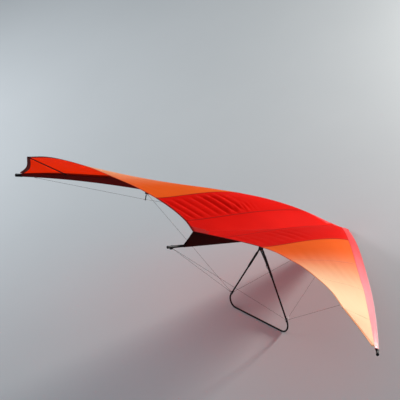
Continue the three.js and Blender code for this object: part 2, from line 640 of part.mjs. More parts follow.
// Carabiner: a closed ring of round rod whose top bar lies in the strap's lower eye
const ringHalf = CARABINER.width / 2;
const ringTop = -STRAP_LENGTH;
const ringBottom = ringTop - CARABINER.height;
const ringInset = CARABINER.corner;
const ringCorners = [
  // side, up, and the unit steps along the ring into and out of the corner
  { side: ringHalf, up: ringTop, before: [-1, 0], after: [0, -1] },
  { side: ringHalf, up: ringBottom, before: [0, 1], after: [-1, 0] },
  { side: -ringHalf, up: ringBottom, before: [1, 0], after: [0, 1] },
  { side: -ringHalf, up: ringTop, before: [0, -1], after: [1, 0] },
];
const ring = new THREE.CurvePath();
let ringEnd = new THREE.Vector3(0, -ringHalf + ringInset, ringTop);
for (const { side, up, before, after } of ringCorners) {
  const turn = new THREE.Vector3(0, side, up);
  const into = turn.clone().add(new THREE.Vector3(0, ...before).multiplyScalar(ringInset));
  const out = turn.clone().add(new THREE.Vector3(0, ...after).multiplyScalar(ringInset));
  ring.add(new THREE.LineCurve3(ringEnd, into));
  ring.add(new THREE.QuadraticBezierCurve3(into, turn, out));
  ringEnd = out;
}
add('carabiner', new THREE.TubeGeometry(ring, 56, CARABINER.rod, 10, true), plate, hanging);

// Parking: pitched nose down until the nose cap and the base bar both rest on the ground
const noseCapCentre = at(-(KEEL_FRONT + NOSE_CAP_LENGTH - NOSE_CAP_RADIUS), 0, 0);
const noseToBar = corner.clone().setY(0).sub(noseCapCentre);
const parkPitch = Math.atan2(-noseToBar.z, -noseToBar.x)
  - Math.asin((NOSE_CAP_RADIUS - BAR_RADIUS) / noseToBar.length());
flight.rotation.y = parkPitch;
hanging.rotation.y = -parkPitch;
const box = new THREE.Box3().setFromObject(glider, true);
flight.position.set(-(box.min.x + box.max.x) / 2, 0, -box.min.z);

export default glider;
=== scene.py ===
import math

import bmesh
import bpy
from mathutils import Matrix, Vector


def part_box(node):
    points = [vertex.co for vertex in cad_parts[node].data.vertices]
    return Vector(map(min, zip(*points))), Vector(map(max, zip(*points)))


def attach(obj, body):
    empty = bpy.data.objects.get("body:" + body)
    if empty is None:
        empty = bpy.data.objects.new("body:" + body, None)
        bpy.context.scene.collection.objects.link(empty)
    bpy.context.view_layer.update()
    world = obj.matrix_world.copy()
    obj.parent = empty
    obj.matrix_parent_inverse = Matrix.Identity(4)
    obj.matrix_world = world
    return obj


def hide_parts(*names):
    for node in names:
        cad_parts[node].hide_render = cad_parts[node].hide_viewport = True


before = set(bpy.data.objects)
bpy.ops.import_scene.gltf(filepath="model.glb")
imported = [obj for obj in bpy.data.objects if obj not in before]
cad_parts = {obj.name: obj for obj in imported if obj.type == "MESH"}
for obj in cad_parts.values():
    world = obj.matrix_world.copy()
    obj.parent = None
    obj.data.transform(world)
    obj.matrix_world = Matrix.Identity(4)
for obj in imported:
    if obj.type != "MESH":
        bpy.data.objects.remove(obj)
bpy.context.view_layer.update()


# The glider is parked nose down, on its nose cap and its base bar. Its own flight frame runs aft
# along the keel, out to the left and up off the keel, from the middle of the nose.
PARK_PITCH = math.radians(38.21857)
HANG_PIN = (2.059, 0.0, -0.200)


def turned(aft, side, up):
    pitch_cos, pitch_sin = math.cos(PARK_PITCH), math.sin(PARK_PITCH)
    return Vector((up * pitch_sin - aft * pitch_cos, side, aft * pitch_sin + up * pitch_cos))


pin_low, pin_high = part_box("hang_pin")
nose = (pin_low + pin_high) / 2 - turned(*HANG_PIN)


def flight(aft, side, up):
    return nose + turned(aft, side, up)


# The camera stands where the photograph's stood beside the glider, behind it and to its right. Its
# place and directions are given in the flight frame, so they turn with the parked glider.
CAMERA_PLACE = (22.859, -19.303, 7.901)
CAMERA_VIEW = (-0.6819, 0.6860, -0.2538)
CAMERA_UP = (-0.0503, 0.3022, 0.9519)
FOCAL_PIXELS = 1766.3
FRAME_PIXELS = 400
SENSOR_WIDTH = 36
VIEW_REACH = 300

camera_data = bpy.data.cameras.new("camera")
camera_data.sensor_width = SENSOR_WIDTH
camera_data.lens = SENSOR_WIDTH * FOCAL_PIXELS / FRAME_PIXELS
camera_data.clip_end = VIEW_REACH
camera = bpy.data.objects.new("camera", camera_data)
bpy.context.scene.collection.objects.link(camera)
looking = turned(*CAMERA_VIEW).normalized()
camera_right = looking.cross(turned(*CAMERA_UP)).normalized()
camera_rows = Matrix((camera_right, camera_right.cross(looking), -looking))
camera.matrix_world = Matrix.Translation(flight(*CAMERA_PLACE)) @ camera_rows.transposed().to_4x4()
bpy.context.scene.camera = camera


# The studio is a plain pale floor under a pale sky, with one broad key light ahead of the right
# wing, a fill over the left wing, and nothing else.
FLOOR_SIZE = 90
FLOOR_TONES = ((0.62, 0.66, 0.69, 1), (0.66, 0.70, 0.73, 1))
LAMP_AIM = (0, 0, 1.2)
KEY_PLACE = (13.6, -3.0, 1.5)
KEY_SIZE = 2.4
KEY_WATTS = 4400
KEY_COLOUR = (1.0, 0.95, 0.88)
FILL_PLACE = (-2.0, 13.0, 7.0)
FILL_SIZE = 6.0
FILL_WATTS = 700
FILL_COLOUR = (0.96, 0.98, 1.0)
SKY_COLOUR = (0.80, 0.88, 0.95, 1)
SKY_STRENGTH = 0.24


def keep(bm, name, *materials, smooth=True):
    mesh = bpy.data.meshes.new(name)
    bm.to_mesh(mesh)
    bm.free()
    obj = bpy.data.objects.new(name, mesh)
    bpy.context.scene.collection.objects.link(obj)
    for material in materials:
        mesh.materials.append(material)
    for face in mesh.polygons:
        face.use_smooth = smooth
    return obj


def place(tree, kind, inputs=(), **settings):
    made = tree.nodes.new(kind)
    for key, value in settings.items():
        setattr(made, key, value)
    for key, value in dict(inputs).items():
        if isinstance(value, bpy.types.NodeSocket):
            tree.links.new(value, made.inputs[key])
        else:
            made.inputs[key].default_value = value
    return made


def blend_colours(tree, share, first, second):
    mix = place(tree, "ShaderNodeMix", {0: share, 6: first, 7: second}, data_type="RGBA")
    return mix.outputs[2]


def surface(name, **sockets):
    material = bpy.data.materials.new(name)
    material.use_nodes = True
    shader = material.node_tree.nodes["Principled BSDF"]
    for socket, value in sockets.items():
        shader.inputs[socket.replace("_", " ")].default_value = value
    return material, material.node_tree, shader


def lamp(name, place_at, size, energy, colour):
    data = bpy.data.lights.new(name, "AREA")
    data.shape = "DISK"
    data.size = size
    data.energy = energy
    data.color = colour
    light = bpy.data.objects.new(name, data)
    bpy.context.scene.collection.objects.link(light)
    towards = (Vector(LAMP_AIM) - Vector(place_at)).to_track_quat("-Z", "Y")
    light.matrix_world = Matrix.Translation(Vector(place_at)) @ towards.to_matrix().to_4x4()


floor_paint, floor_tree, floor_shader = surface("studio floor", Roughness=0.95)
floor_mottle = place(floor_tree, "ShaderNodeTexNoise", {"Scale": 0.6, "Detail": 4.0,
                     "Vector": place(floor_tree, "ShaderNodeTexCoord").outputs["Object"]})
floor_tone = blend_colours(floor_tree, floor_mottle.outputs["Fac"], *FLOOR_TONES)
floor_tree.links.new(floor_tone, floor_shader.inputs["Base Color"])
bm = bmesh.new()
bmesh.ops.create_grid(bm, x_segments=4, y_segments=4, size=FLOOR_SIZE)
floor = keep(bm, "studio_floor", floor_paint)
lamp("key", KEY_PLACE, KEY_SIZE, KEY_WATTS, KEY_COLOUR)
lamp("fill", FILL_PLACE, FILL_SIZE, FILL_WATTS, FILL_COLOUR)
world = bpy.data.worlds.new("studio")
bpy.context.scene.world = world
world.use_nodes = True
sky = world.node_tree.nodes["Background"].inputs
sky["Color"].default_value = SKY_COLOUR
sky["Strength"].default_value = SKY_STRENGTH
bpy.context.scene.view_settings.view_transform = "Standard"


# Keel, leading edges, crossbar, deflexor posts and control frame are drawn aluminium tube,
# anodised black, with a fine grain and pale scuffs where they have been handled.
FINE_GRAIN = 24.0
SCUFF_LIMIT = 0.46
SCUFF_SPREAD = 0.2
SCUFF_HARDNESS = 9.0
GRAIN_ROUGHNESS = 0.2
GRAIN_SMOOTHING = 0.06


def calc(tree, operation, *values, clamp=False):
    made = place(tree, "ShaderNodeMath", dict(enumerate(values)), operation=operation, use_clamp=clamp)
    return made.outputs[0]


def effect_group(name, inputs, outputs):
    """A shader node group of plain values, with its input and its output node."""
    group = bpy.data.node_groups.new(name, "ShaderNodeTree")
    for way, sockets in (("INPUT", inputs), ("OUTPUT", outputs)):
        for socket in sockets:
            group.interface.new_socket(socket, in_out=way, socket_type="NodeSocketFloat")
    return group, place(group, "NodeGroupInput"), place(group, "NodeGroupOutput")


def scuffs_group():
    group, taken, given = effect_group("handling scuffs", ("Scale", "Share"), ("Scuff", "Grain"))
    where = place(group, "ShaderNodeTexCoord").outputs["Object"]
    scale = taken.outputs["Scale"]
    broad = place(group, "ShaderNodeTexNoise", {"Vector": where, "Scale": scale, "Detail": 6.0})
    fine_scale = calc(group, "MULTIPLY", scale, FINE_GRAIN)
    fine = place(group, "ShaderNodeTexNoise", {"Vector": where, "Scale": fine_scale, "Detail": 3.0})
    mixed = calc(group, "MULTIPLY", broad.outputs["Fac"], fine.outputs["Fac"])
    spread = calc(group, "MULTIPLY", taken.outputs["Share"], SCUFF_SPREAD)
    past = calc(group, "SUBTRACT", mixed, calc(group, "SUBTRACT", SCUFF_LIMIT, spread))
    worn = calc(group, "MULTIPLY", past, SCUFF_HARDNESS, clamp=True)
    group.links.new(worn, given.inputs["Scuff"])
    group.links.new(fine.outputs["Fac"], given.inputs["Grain"])
    return group


scuffs = scuffs_group()


def worn_finish(name, colour, worn_colour, roughness, metallic, scale, share, relief=0.0002):
    material, tree, shader = surface(name, Metallic=metallic)
    wear = place(tree, "ShaderNodeGroup", {"Scale": scale, "Share": share}, node_tree=scuffs)
    tone = blend_colours(tree, wear.outputs["Scuff"], (*colour, 1), (*worn_colour, 1))
    tree.links.new(tone, shader.inputs["Base Color"])
    uneven = calc(tree, "MULTIPLY", wear.outputs["Grain"], GRAIN_ROUGHNESS)
    rough = calc(tree, "ADD", roughness - GRAIN_SMOOTHING, uneven)
    tree.links.new(rough, shader.inputs["Roughness"])
    bump = place(tree, "ShaderNodeBump", {"Height": wear.outputs["Grain"], "Strength": 0.25,
                 "Distance": relief})
    tree.links.new(bump.outputs["Normal"], shader.inputs["Normal"])
    return material


black_tube = worn_finish("black anodised tube", (0.012, 0.012, 0.014), (0.10, 0.10, 0.11),
                         roughness=0.34, metallic=0.75, scale=9, share=0.25)
plate_metal = worn_finish("brushed plate", (0.42, 0.43, 0.45), (0.62, 0.63, 0.65),
                          roughness=0.36, metallic=1.0, scale=30, share=0.5)
dark_plate = worn_finish("dark anodised plate", (0.03, 0.03, 0.034), (0.22, 0.22, 0.23),
                         roughness=0.4, metallic=0.8, scale=30, share=0.4)
black_rubber = worn_finish("black rubber", (0.012, 0.012, 0.012), (0.05, 0.05, 0.05),
                           roughness=0.72, metallic=0.0, scale=20, share=0.3, relief=0.0004)
steel_bolt = worn_finish("plated bolt", (0.52, 0.52, 0.54), (0.72, 0.72, 0.72),
                         roughness=0.3, metallic=1.0, scale=60, share=0.4)
coated_wire = worn_finish("black coated wire", (0.010, 0.010, 0.012), (0.05, 0.05, 0.055),
                          roughness=0.5, metallic=0.0, scale=300, share=0.3)


def repaint(material, *names):
    for name in names:
        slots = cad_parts[name].data.materials
        slots.clear()
        slots.append(material)


def both(name):
    return f"{name}_left", f"{name}_right"


repaint(black_tube, "keel_tube", *both("leading_edge_tube"), *both("crossbar"), *both("upright"),
        *both("corner_bend"), "base_bar", *both("deflexor_post"))
repaint(black_rubber, "nose_cap", "tail_cap", *both("tip_cap"), *both("upright_grip"))
repaint(plate_metal, "nose_plate_upper", "nose_plate_lower")
repaint(dark_plate, "crossbar_centre_bracket", *both("leading_edge_bracket"), "control_bar_bracket",
        *both("wire_fitting"), "tail_tang")
repaint(steel_bolt, "hang_pin", "carabiner")
repaint(coated_wire, *both("front_wire"), *both("rear_wire"), *both("side_wire"),
        *both("deflexor_wire_outer"), *both("deflexor_wire_inner"))


# The sail is one arched surface over the leading edges, the keel and the free trailing edge. It
# is cut from woven polyester sailcloth, and every cloth piece below takes its place from it.
EDGE_JUNCTION = (2.330, 2.680, 0.038)
EDGE_TIP = (3.947, 4.365, -0.151)
SAIL_REST = 0.026
ARCH_PEAK = 0.19
ARCH_ROUND = 0.4
ARCH_FALL = 1.5
TRAILING_EDGE = [
    # side, aft, up, arch
    (0.000, 3.708, 0.233, 0.030),
    (0.430, 3.502, 0.264, 0.225),
    (0.850, 3.427, 0.318, 0.280),
    (1.270, 3.449, 0.383, 0.260),
    (1.700, 3.547, 0.447, 0.205),
    (2.100, 3.695, 0.493, 0.145),
    (2.550, 3.860, 0.538, 0.095),
    (2.950, 3.990, 0.533, 0.080),
    (3.400, 4.100, 0.480, 0.030),
    (3.796, 4.225, 0.369, 0.008),
]
TIP_EDGE = [
    # side, aft, up, arch
    (3.796, 4.225, 0.369, 0.008),
    (4.010, 4.035, 0.112, 0.004),
    (4.365, 3.947, -0.151, 0.000),
]
TIP_CORNER_SIDE = TIP_EDGE[0][0]
TIP_PANEL_END = 4.215
BATTEN_FRONT_SIDE = 3.698
BATTEN_SLANT = 0.088
SLANT_FROM = 3.17
POCKET_NOSE = 0.045
POCKET_MIDDLE = 0.120
POCKET_TIP = 0.045
POCKET_OPENS = (0.0, 0.7)
POCKET_CLOSES = (1.8, 4.28)
CHORD_LIMIT = 0.96
BACK_FADE = (0.0, 0.05)
HALVINGS = 32


def through_nose(near, near_value, far, far_value):
    square = (far_value / far - near_value / near) / (far - near)
    slope = near_value / near - square * near
    return lambda side: slope * side + square * side * side


def level_at_nose(near, near_value, far, far_value):
    cube = (far_value / far ** 2 - near_value / near ** 2) / (far - near)
    square = near_value / near ** 2 - cube * near
    return lambda side: side ** 2 * (square + cube * side)


edge_aft = through_nose(EDGE_JUNCTION[1], EDGE_JUNCTION[0], EDGE_TIP[1], EDGE_TIP[0])
edge_up = level_at_nose(EDGE_JUNCTION[1], EDGE_JUNCTION[2], EDGE_TIP[1], EDGE_TIP[2])


def edge_axis(side):
    reach = 0.001
    run = Vector((edge_aft(side + reach) - edge_aft(side - reach), 2 * reach,
                  edge_up(side + reach) - edge_up(side - reach)))
    return run.normalized()


def spline(points):
    """A smooth curve through the points, with the corners' spacing taken into account."""
    rows = [2 * points[0] - points[1], *points, 2 * points[-1] - points[-2]]

    def at(share):
        place_on = share * (len(points) - 1)
        i = min(int(place_on), len(points) - 2)
        w = place_on - i
        p0, p1, p2, p3 = rows[i:i + 4]
        d0, d1, d2 = (max((b - a).length, 1e-8) ** 0.5 for a, b in ((p0, p1), (p1, p2), (p2, p3)))
        t1 = ((p1 - p0) / d0 - (p2 - p0) / (d0 + d1) + (p2 - p1) / d1) * d1
        t2 = ((p2 - p1) / d1 - (p3 - p1) / (d1 + d2) + (p3 - p2) / d2) * d1
        bend, turn = 3 * (p2 - p1) - 2 * t1 - t2, 2 * (p1 - p2) + t1 + t2
        return p1 + t1 * w + bend * w * w + turn * w ** 3

    return at


def by_side(curve):
    cache = {}

    def at(side):
        key = round(side, 6)
        if key not in cache:
            low, high = 0.0, 1.0
            for _ in range(HALVINGS):
                middle = (low + high) / 2
                if curve(middle).y < side:
                    low = middle
                else:
                    high = middle
            cache[key] = curve((low + high) / 2)
        return cache[key]

    return at


trailing = by_side(spline([Vector((aft, side, up)) for side, aft, up, arch in TRAILING_EDGE]))
tip_trailing = by_side(spline([Vector((aft, side, up)) for side, aft, up, arch in TIP_EDGE]))
arch_height = by_side(spline([Vector((0, side, arch)) for side, aft, up, arch in TRAILING_EDGE]))
tip_arch_height = by_side(spline([Vector((0, side, arch)) for side, aft, up, arch in TIP_EDGE]))


def back_point(side):
    return tip_trailing(side) if side > TIP_CORNER_SIDE else trailing(side)


def arch_shape(chord):
    if chord < ARCH_PEAK:
        return (1 - (1 - max(0.0, chord) / ARCH_PEAK) ** 2) ** ARCH_ROUND
    past = min(1.0, (chord - ARCH_PEAK) / (1 - ARCH_PEAK))
    return (1 - past) ** ARCH_FALL * (1 + ARCH_FALL * past)


def smooth_step(value, low, high):
    share = min(1.0, max(0.0, (value - low) / (high - low)))
    return share * share * (3 - 2 * share)


def chord_length(side):
    return back_point(side).x - edge_aft(side)


# Soft folds hang across the inner panels, a few short ones gather in front of them, and light
# pulls fan over the outer panels.
FOLD_HEIGHT = 0.032
FOLD_SPACING = 0.185
FOLD_SLANT = 0.12
FOLD_MEAN = 0.64
FOLDS_START_SIDE = (0.40, 0.60)
FOLDS_END_SIDE = (1.05, 1.25)
FOLDS_START_AFT = (1.7, 2.3)
FOLDS_EASE_AFT = (3.0, 3.45)
GATHER_HEIGHT = 0.017
GATHER_SPACING = 0.105
GATHER_SLANT = 0.30
GATHER_MEAN = 0.7
GATHER_SIDE = 0.62
GATHER_AFT = 2.05
GATHER_SPREAD_SIDE = 0.13
GATHER_SPREAD_AFT = 0.30
PULL_HEIGHT = 0.0020
PULL_SPACING = 0.23
PULL_SLANT = 0.55
PULLS_START_SIDE = (1.3, 1.6)
PULLS_END_SIDE = (3.3, 3.6)


def inner_folds(side, aft):
    inner = smooth_step(side, *FOLDS_START_SIDE) * (1 - smooth_step(side, *FOLDS_END_SIDE))
    inner *= smooth_step(aft, *FOLDS_START_AFT) * (1 - 0.5 * smooth_step(aft, *FOLDS_EASE_AFT))
    wander = 0.4 * math.sin(3.1 * side + 1.7 * aft) + 1.1 * math.sin(1.3 * aft)
    turn = math.pi * (aft - FOLD_SLANT * side) / FOLD_SPACING + wander
    ridge = (abs(math.sin(turn)) - FOLD_MEAN) * (0.7 + 0.3 * math.sin(0.37 * turn))
    off_side = (side - GATHER_SIDE) / GATHER_SPREAD_SIDE
    off_aft = (aft - GATHER_AFT) / GATHER_SPREAD_AFT
    gather = math.exp(-off_side ** 2 - off_aft ** 2)
    crease = abs(math.sin(math.pi * (aft + GATHER_SLANT * side) / GATHER_SPACING)) ** 0.7 - GATHER_MEAN
    fading = smooth_step(1 - (aft - edge_aft(side)) / chord_length(side), *BACK_FADE)
    return (FOLD_HEIGHT * inner * ridge + GATHER_HEIGHT * gather * crease) * fading


def outer_pulls(side, aft):
    outer = smooth_step(side, *PULLS_START_SIDE) * (1 - smooth_step(side, *PULLS_END_SIDE))
    uneven = 1.4 * math.sin(2.2 * side)
    pull = math.sin(2 * math.pi * (aft - PULL_SLANT * side) / PULL_SPACING + uneven)
    pull *= 0.6 + 0.4 * math.sin(1.9 * side + 3.3 * aft)
    return PULL_HEIGHT * outer * pull


def sail_place(side, chord, lift=0.0):
    """A place on the sail in the flight frame: aft, side, up."""
    front = Vector((edge_aft(side), side, edge_up(side) + SAIL_REST))
    back = back_point(side)
    arch = (tip_arch_height(side) if side > TIP_CORNER_SIDE else arch_height(side)).z
    spot = front.lerp(back, chord)
    spot.z += arch * arch_shape(chord) + lift + inner_folds(side, spot.x)
    spot.z += outer_pulls(side, spot.x) * smooth_step(1 - chord, *BACK_FADE)
    return spot


def edge_chord(side, width):
    """The fraction of the chord that lies a width behind the leading edge, square to it."""
    return min(CHORD_LIMIT, width / edge_axis(side).y / chord_length(side))


def pocket_width(side):
    opened = POCKET_NOSE + (POCKET_MIDDLE - POCKET_NOSE) * smooth_step(side, *POCKET_OPENS)
    return opened + (POCKET_TIP - opened) * smooth_step(side, *POCKET_CLOSES)


def slanted(side, part):
    """The tip batten slants outwards to the corner of the trailing edge, and the cloth follows."""
    follows = smooth_step(side, SLANT_FROM, BATTEN_FRONT_SIDE)
    follows *= 1 - smooth_step(side, BATTEN_FRONT_SIDE, TIP_PANEL_END)
    return side + BATTEN_SLANT * part * follows


# Sailcloth is woven polyester with a resin finish: a fine square weave that shows close up, a low
# sheen, and light creases. Its colours are bright on top; the copies seen from below are deeper and
# brighter, painted as the glow of light coming through.
THREADS_PER_METRE = 2 * math.pi * 700
WEAVE_RELIEF = 0.00006
CREASE_RELIEF = 0.006
# How strongly the painted glint whitens the cloth where it is full.
PAINTED_GLINT_SHARE = 0.85


def cloth_map(tree):
    """The place on the cloth, along it and across it, from the cloth's own map."""
    flat = place(tree, "ShaderNodeUVMap", uv_map="cloth").outputs[0]
    return place(tree, "ShaderNodeSeparateXYZ", {0: flat}).outputs


def cloth_group():
    group, taken, given = effect_group("sailcloth weave", ("Threads",), ("Height", "Tone"))
    spot = cloth_map(group)
    turns = [calc(group, "SINE", calc(group, "MULTIPLY", spot[k], taken.outputs["Threads"]))
             for k in (0, 1)]
    weave = calc(group, "MULTIPLY", *turns)
    where = place(group, "ShaderNodeTexCoord").outputs["Object"]
    crease = place(group, "ShaderNodeTexNoise", {"Vector": where, "Scale": 5.0, "Detail": 3.0,
                   "Distortion": 0.8})
    broad = place(group, "ShaderNodeTexNoise", {"Vector": where, "Scale": 1.1, "Detail": 5.0})
    height = calc(group, "ADD", calc(group, "MULTIPLY", weave, WEAVE_RELIEF),
                  calc(group, "MULTIPLY", crease.outputs["Fac"], CREASE_RELIEF))
    group.links.new(height, given.inputs["Height"])
    group.links.new(broad.outputs["Fac"], given.inputs["Tone"])
    return group


weave_threads = cloth_group()


def ramp(tree, value, start, end, top=1.0):
    ranged = place(tree, "ShaderNodeMapRange", {0: value, 1: start, 2: end, 4: top},
                   interpolation_type="SMOOTHSTEP")
    return ranged.outputs[0]


def sailcloth(name, colour, shade, roughness=0.46, fade=None, glow=0.4, shine=0.12, sheen=0.0,
              painted_glint=None):
    """The painted glare is a pale colour painted on as a highlight, with where along the span it
    starts and is full. The painted glint is a pale colour painted on as a glint, with where across the
    cloth it is full and where it ends."""
    material, tree, shader = surface(name, Roughness=roughness, Specular_IOR_Level=shine,
                                     Sheen_Weight=sheen, Sheen_Roughness=0.25)
    cloth = place(tree, "ShaderNodeGroup", {"Threads": THREADS_PER_METRE}, node_tree=weave_threads)
    tone = blend_colours(tree, cloth.outputs["Tone"], (*shade, 1), (*colour, 1))
    # Painted highlight: the colour pales along the span.
    if fade:
        pale, start, end = fade
        where = place(tree, "ShaderNodeTexCoord").outputs["Object"]
        out = calc(tree, "ABSOLUTE", place(tree, "ShaderNodeSeparateXYZ", {0: where}).outputs[1])
        tone = blend_colours(tree, ramp(tree, out, start, end), tone, (*pale, 1))
    # Painted glint: a pale stripe across the cloth.
    if painted_glint:
        pale, full, none = painted_glint
        share = ramp(tree, cloth_map(tree)[1], none, full, PAINTED_GLINT_SHARE)
        tone = blend_colours(tree, share, tone, (*pale, 1))
    tree.links.new(tone, shader.inputs["Base Color"])
    bump = place(tree, "ShaderNodeBump", {"Height": cloth.outputs["Height"], "Strength": 0.55,
                 "Distance": 1.0})
    normal = bump.outputs["Normal"]
    tree.links.new(normal, shader.inputs["Normal"])
    through = place(tree, "ShaderNodeBsdfTranslucent", {"Color": tone, "Normal": normal})
    both_sides = place(tree, "ShaderNodeMixShader", {0: glow, 1: shader.outputs[0],
                       2: through.outputs[0]})
    tree.links.new(both_sides.outputs[0], tree.nodes["Material Output"].inputs["Surface"])
    return material


# The orange pales to cream towards the tip: a painted highlight of strong light on the tip.
PAINTED_GLARE_TIP = ((1.0, 0.92, 0.58), 1.6, 3.7)
# The leading edge band fades to pink towards the tip: a painted highlight standing in for glare.
PAINTED_GLARE_EDGE = ((0.92, 0.30, 0.36), 1.2, 3.4)
# A pale pink stripe along the front of the pocket, over the tube: a painted glint.
PAINTED_GLINT_FRONT = ((1.0, 0.80, 0.82), 0.315, 0.350)
red_top = sailcloth("red sailcloth", (0.72, 0.006, 0.002), (0.54, 0.003, 0.001), roughness=0.6,
                    shine=0.03)
# Red seen from below: a brighter, deeper red painted as the glow of light through the cloth.
red_under_painted_glow = sailcloth("red sailcloth from below", (0.95, 0.012, 0.001), (0.84, 0.008, 0.001),
                      glow=0.75)
red_edge = sailcloth("red sailcloth over the leading edge", (0.80, 0.010, 0.014),
                     (0.68, 0.007, 0.010), roughness=0.34, fade=PAINTED_GLARE_EDGE, shine=0.3,
                     sheen=0.15, painted_glint=PAINTED_GLINT_FRONT)
red_cover = sailcloth("red nose cover cloth", (0.78, 0.010, 0.008), (0.66, 0.007, 0.006),
                      roughness=0.34, shine=0.3)
orange_top = sailcloth("orange sailcloth", (0.88, 0.148, 0.012), (0.74, 0.112, 0.010),
                       roughness=0.6, fade=PAINTED_GLARE_TIP, glow=0.5, shine=0.06)
# Orange seen from below: a deep red-orange painted as the glow of light through the cloth.
orange_under_painted_glow = sailcloth("orange sailcloth from below", (0.97, 0.040, 0.001),
                         (0.90, 0.028, 0.001), glow=0.8)
# Very dark maroon: painted shade for the keel fin and the batten pockets under the sail.
maroon_cloth = sailcloth("maroon sailcloth", (0.060, 0.004, 0.003), (0.036, 0.002, 0.002),
                         roughness=0.6, glow=0.1)
# The same red cloth, painted dark as the shade under the leading edge tube.
pocket_under_painted_shade = sailcloth("dark red sailcloth", (0.20, 0.006, 0.004), (0.13, 0.004, 0.003),
                         roughness=0.55, glow=0.1)
CLOTH_THICKNESS = 0.0012


def grid_on(bm, columns, rows, spot, cloth_place, material_index=0, lay=flight):
    """Adds a grid whose points lie at spot(u, v), for u and v from 0 to 1, in the frame of lay."""
    uv = bm.loops.layers.uv.get("cloth") or bm.loops.layers.uv.new("cloth")
    grid = bmesh.ops.create_grid(bm, x_segments=columns, y_segments=rows, size=0.5)
    shares = {vert: (vert.co.x + 0.5, vert.co.y + 0.5) for vert in grid["verts"]}
    for face in [face for face in bm.faces if face.verts[0] in shares]:
        middle = [sum(shares[vert][k] for vert in face.verts) / len(face.verts) for k in (0, 1)]
        face.material_index = material_index(*middle) if callable(material_index) else material_index
        for loop in face.loops:
            loop[uv].uv = cloth_place(*shares[loop.vert])
    for vert, share in shares.items():
        vert.co = lay(*spot(*share))


RIGHT_FOLDS = 0.3


def other_half(bm):
    """The right half of a cloth, whose inner panel the wind fills more evenly than the left's."""
    twin = bm.copy()
    for vert in twin.verts:
        aft = (vert.co - nose).dot(turned(1, 0, 0))
        vert.co -= turned(0, 0, (1 - RIGHT_FOLDS) * inner_folds(abs(vert.co.y), aft))
    bmesh.ops.scale(twin, vec=(1, -1, 1), verts=twin.verts)
    bmesh.ops.reverse_faces(twin, faces=twin.faces)
    return twin


def thicken(obj, thickness, offset=0.0, inner_material=0):
    wall = obj.modifiers.new("wall thickness", "SOLIDIFY")
    wall.thickness = thickness
    wall.offset = offset
    wall.material_offset = inner_material


def fit_on(obj, body, slot, *replaced):
    """Says which body a piece rides on and the solids that it stands for; its material slot is not
    used.
    """
    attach(obj, body)
    if replaced:
        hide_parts(*replaced)


def cloth_pair(name, bm, materials, slot, replaced=None, thickness=CLOTH_THICKNESS, offset=0.0,
               inner_material=0):
    made = []
    for hand, half in (("left", bm), ("right", other_half(bm))):
        obj = keep(half, f"{name}_{hand}", *materials)
        thicken(obj, thickness, offset, inner_material)
        fit_on(obj, "frame", slot, *([f"{replaced}_{hand}"] if replaced else []))
        made.append(obj)
    return made


# Inner panels: red sailcloth from the keel out to the seam where the colour changes. No batten
# holds it out, so it is loose enough to fold softly. Its front is sewn to the edge's red band.
COLOUR_SEAM_SIDE = 1.270
TIP_CLOTH_END = 4.250
BAND_WIDTH = [
    # side, width of the red band behind the leading edge
    (0.0, 0.22),
    (0.5, 0.26),
    (1.3, 0.25),
    (2.2, 0.21),
    (2.9, 0.17),
    (3.7, 0.11),
    (4.0, 0.08),
    (4.4, 0.03),
]
JOIN_SHARE = 0.7


def from_table(rows, at):
    for (left, low), (right, high) in zip(rows, rows[1:]):
        if at <= right:
            return low + (high - low) * (at - left) / (right - left)
    return rows[-1][1]


def band_width(side):
    return from_table(BAND_WIDTH, side)


def join_width(side):
    return min(pocket_width(side), JOIN_SHARE * band_width(side))


CHORD_CROWDING = 1.15
PANEL_SETBACK = 0.004
INNER_MESH = (70, 190)


def panel(side_from, side_to, columns, rows):
    def where(u, v):
        part = v ** CHORD_CROWDING
        side = side_from + (side_to - side_from) * u
        first = edge_chord(side, join_width(side) + PANEL_SETBACK)
        return slanted(side, part), first + (1 - first) * part

    def spot(u, v):
        return sail_place(*where(u, v))

    def cloth_place(u, v):
        side, chord = where(u, v)
        return side, edge_aft(side) + chord * chord_length(side)

    bm = bmesh.new()
    grid_on(bm, columns, rows, spot, cloth_place)
    return bm


for cloth in cloth_pair("inner_panel", panel(0.0, COLOUR_SEAM_SIDE, *INNER_MESH),
                        (red_top, red_under_painted_glow), "red_sail", "sail_inner", inner_material=1):
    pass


# Outer panels: orange sailcloth in three sewn widths, from the colour seam to the tip batten. It
# is sewn to the red band in front, and its colour is painted pale towards the tip as a highlight.
OUTER_MESH = (120, 84)
for cloth in cloth_pair("outer_panel", panel(COLOUR_SEAM_SIDE, BATTEN_FRONT_SIDE, *OUTER_MESH),
                        (orange_top, orange_under_painted_glow), "orange_sail", "sail_outer", inner_material=1):
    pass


# Tip panels: the same orange sailcloth outside the tip batten, held by the batten and by the end
# of the leading edge, with a hollow free edge between them.
TIP_MESH = (34, 40)
for cloth in cloth_pair("tip_panel", panel(BATTEN_FRONT_SIDE, TIP_CLOTH_END, *TIP_MESH),
                        (orange_top, orange_under_painted_glow), "orange_sail", "sail_tip", inner_material=1):
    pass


# Leading edge pockets: one red cloth runs from a seam under the sail round the front of the tube
# and back over the top, where it is sewn down as a band. Its underside is painted dark as the shade
# under the tube, and an opening below the junction lets the crossbar's bracket and the deflexor post
# through.
POCKET_RADIUS = 0.0255
POCKET_LOWER_ANGLE = math.radians(-60)
POCKET_UPPER_ANGLE = math.radians(125)
POCKET_START = 0.128
POCKET_END = 4.285
OPENING_FROM = 2.630
OPENING_TO = 2.738
OPENING_ACROSS = (0.04, 0.21)
POCKET_STATIONS = [(0.0, POCKET_START), (0.60, OPENING_FROM), (0.63, OPENING_TO), (1.0, POCKET_END)]
POCKET_MESH = (200, 50)
POCKET_MAP_WIDTH = 0.5
POCKET_SEAM_DROP = 0.0026
BAND_LIFT = 0.0016
CHORD_STEP = 0.004
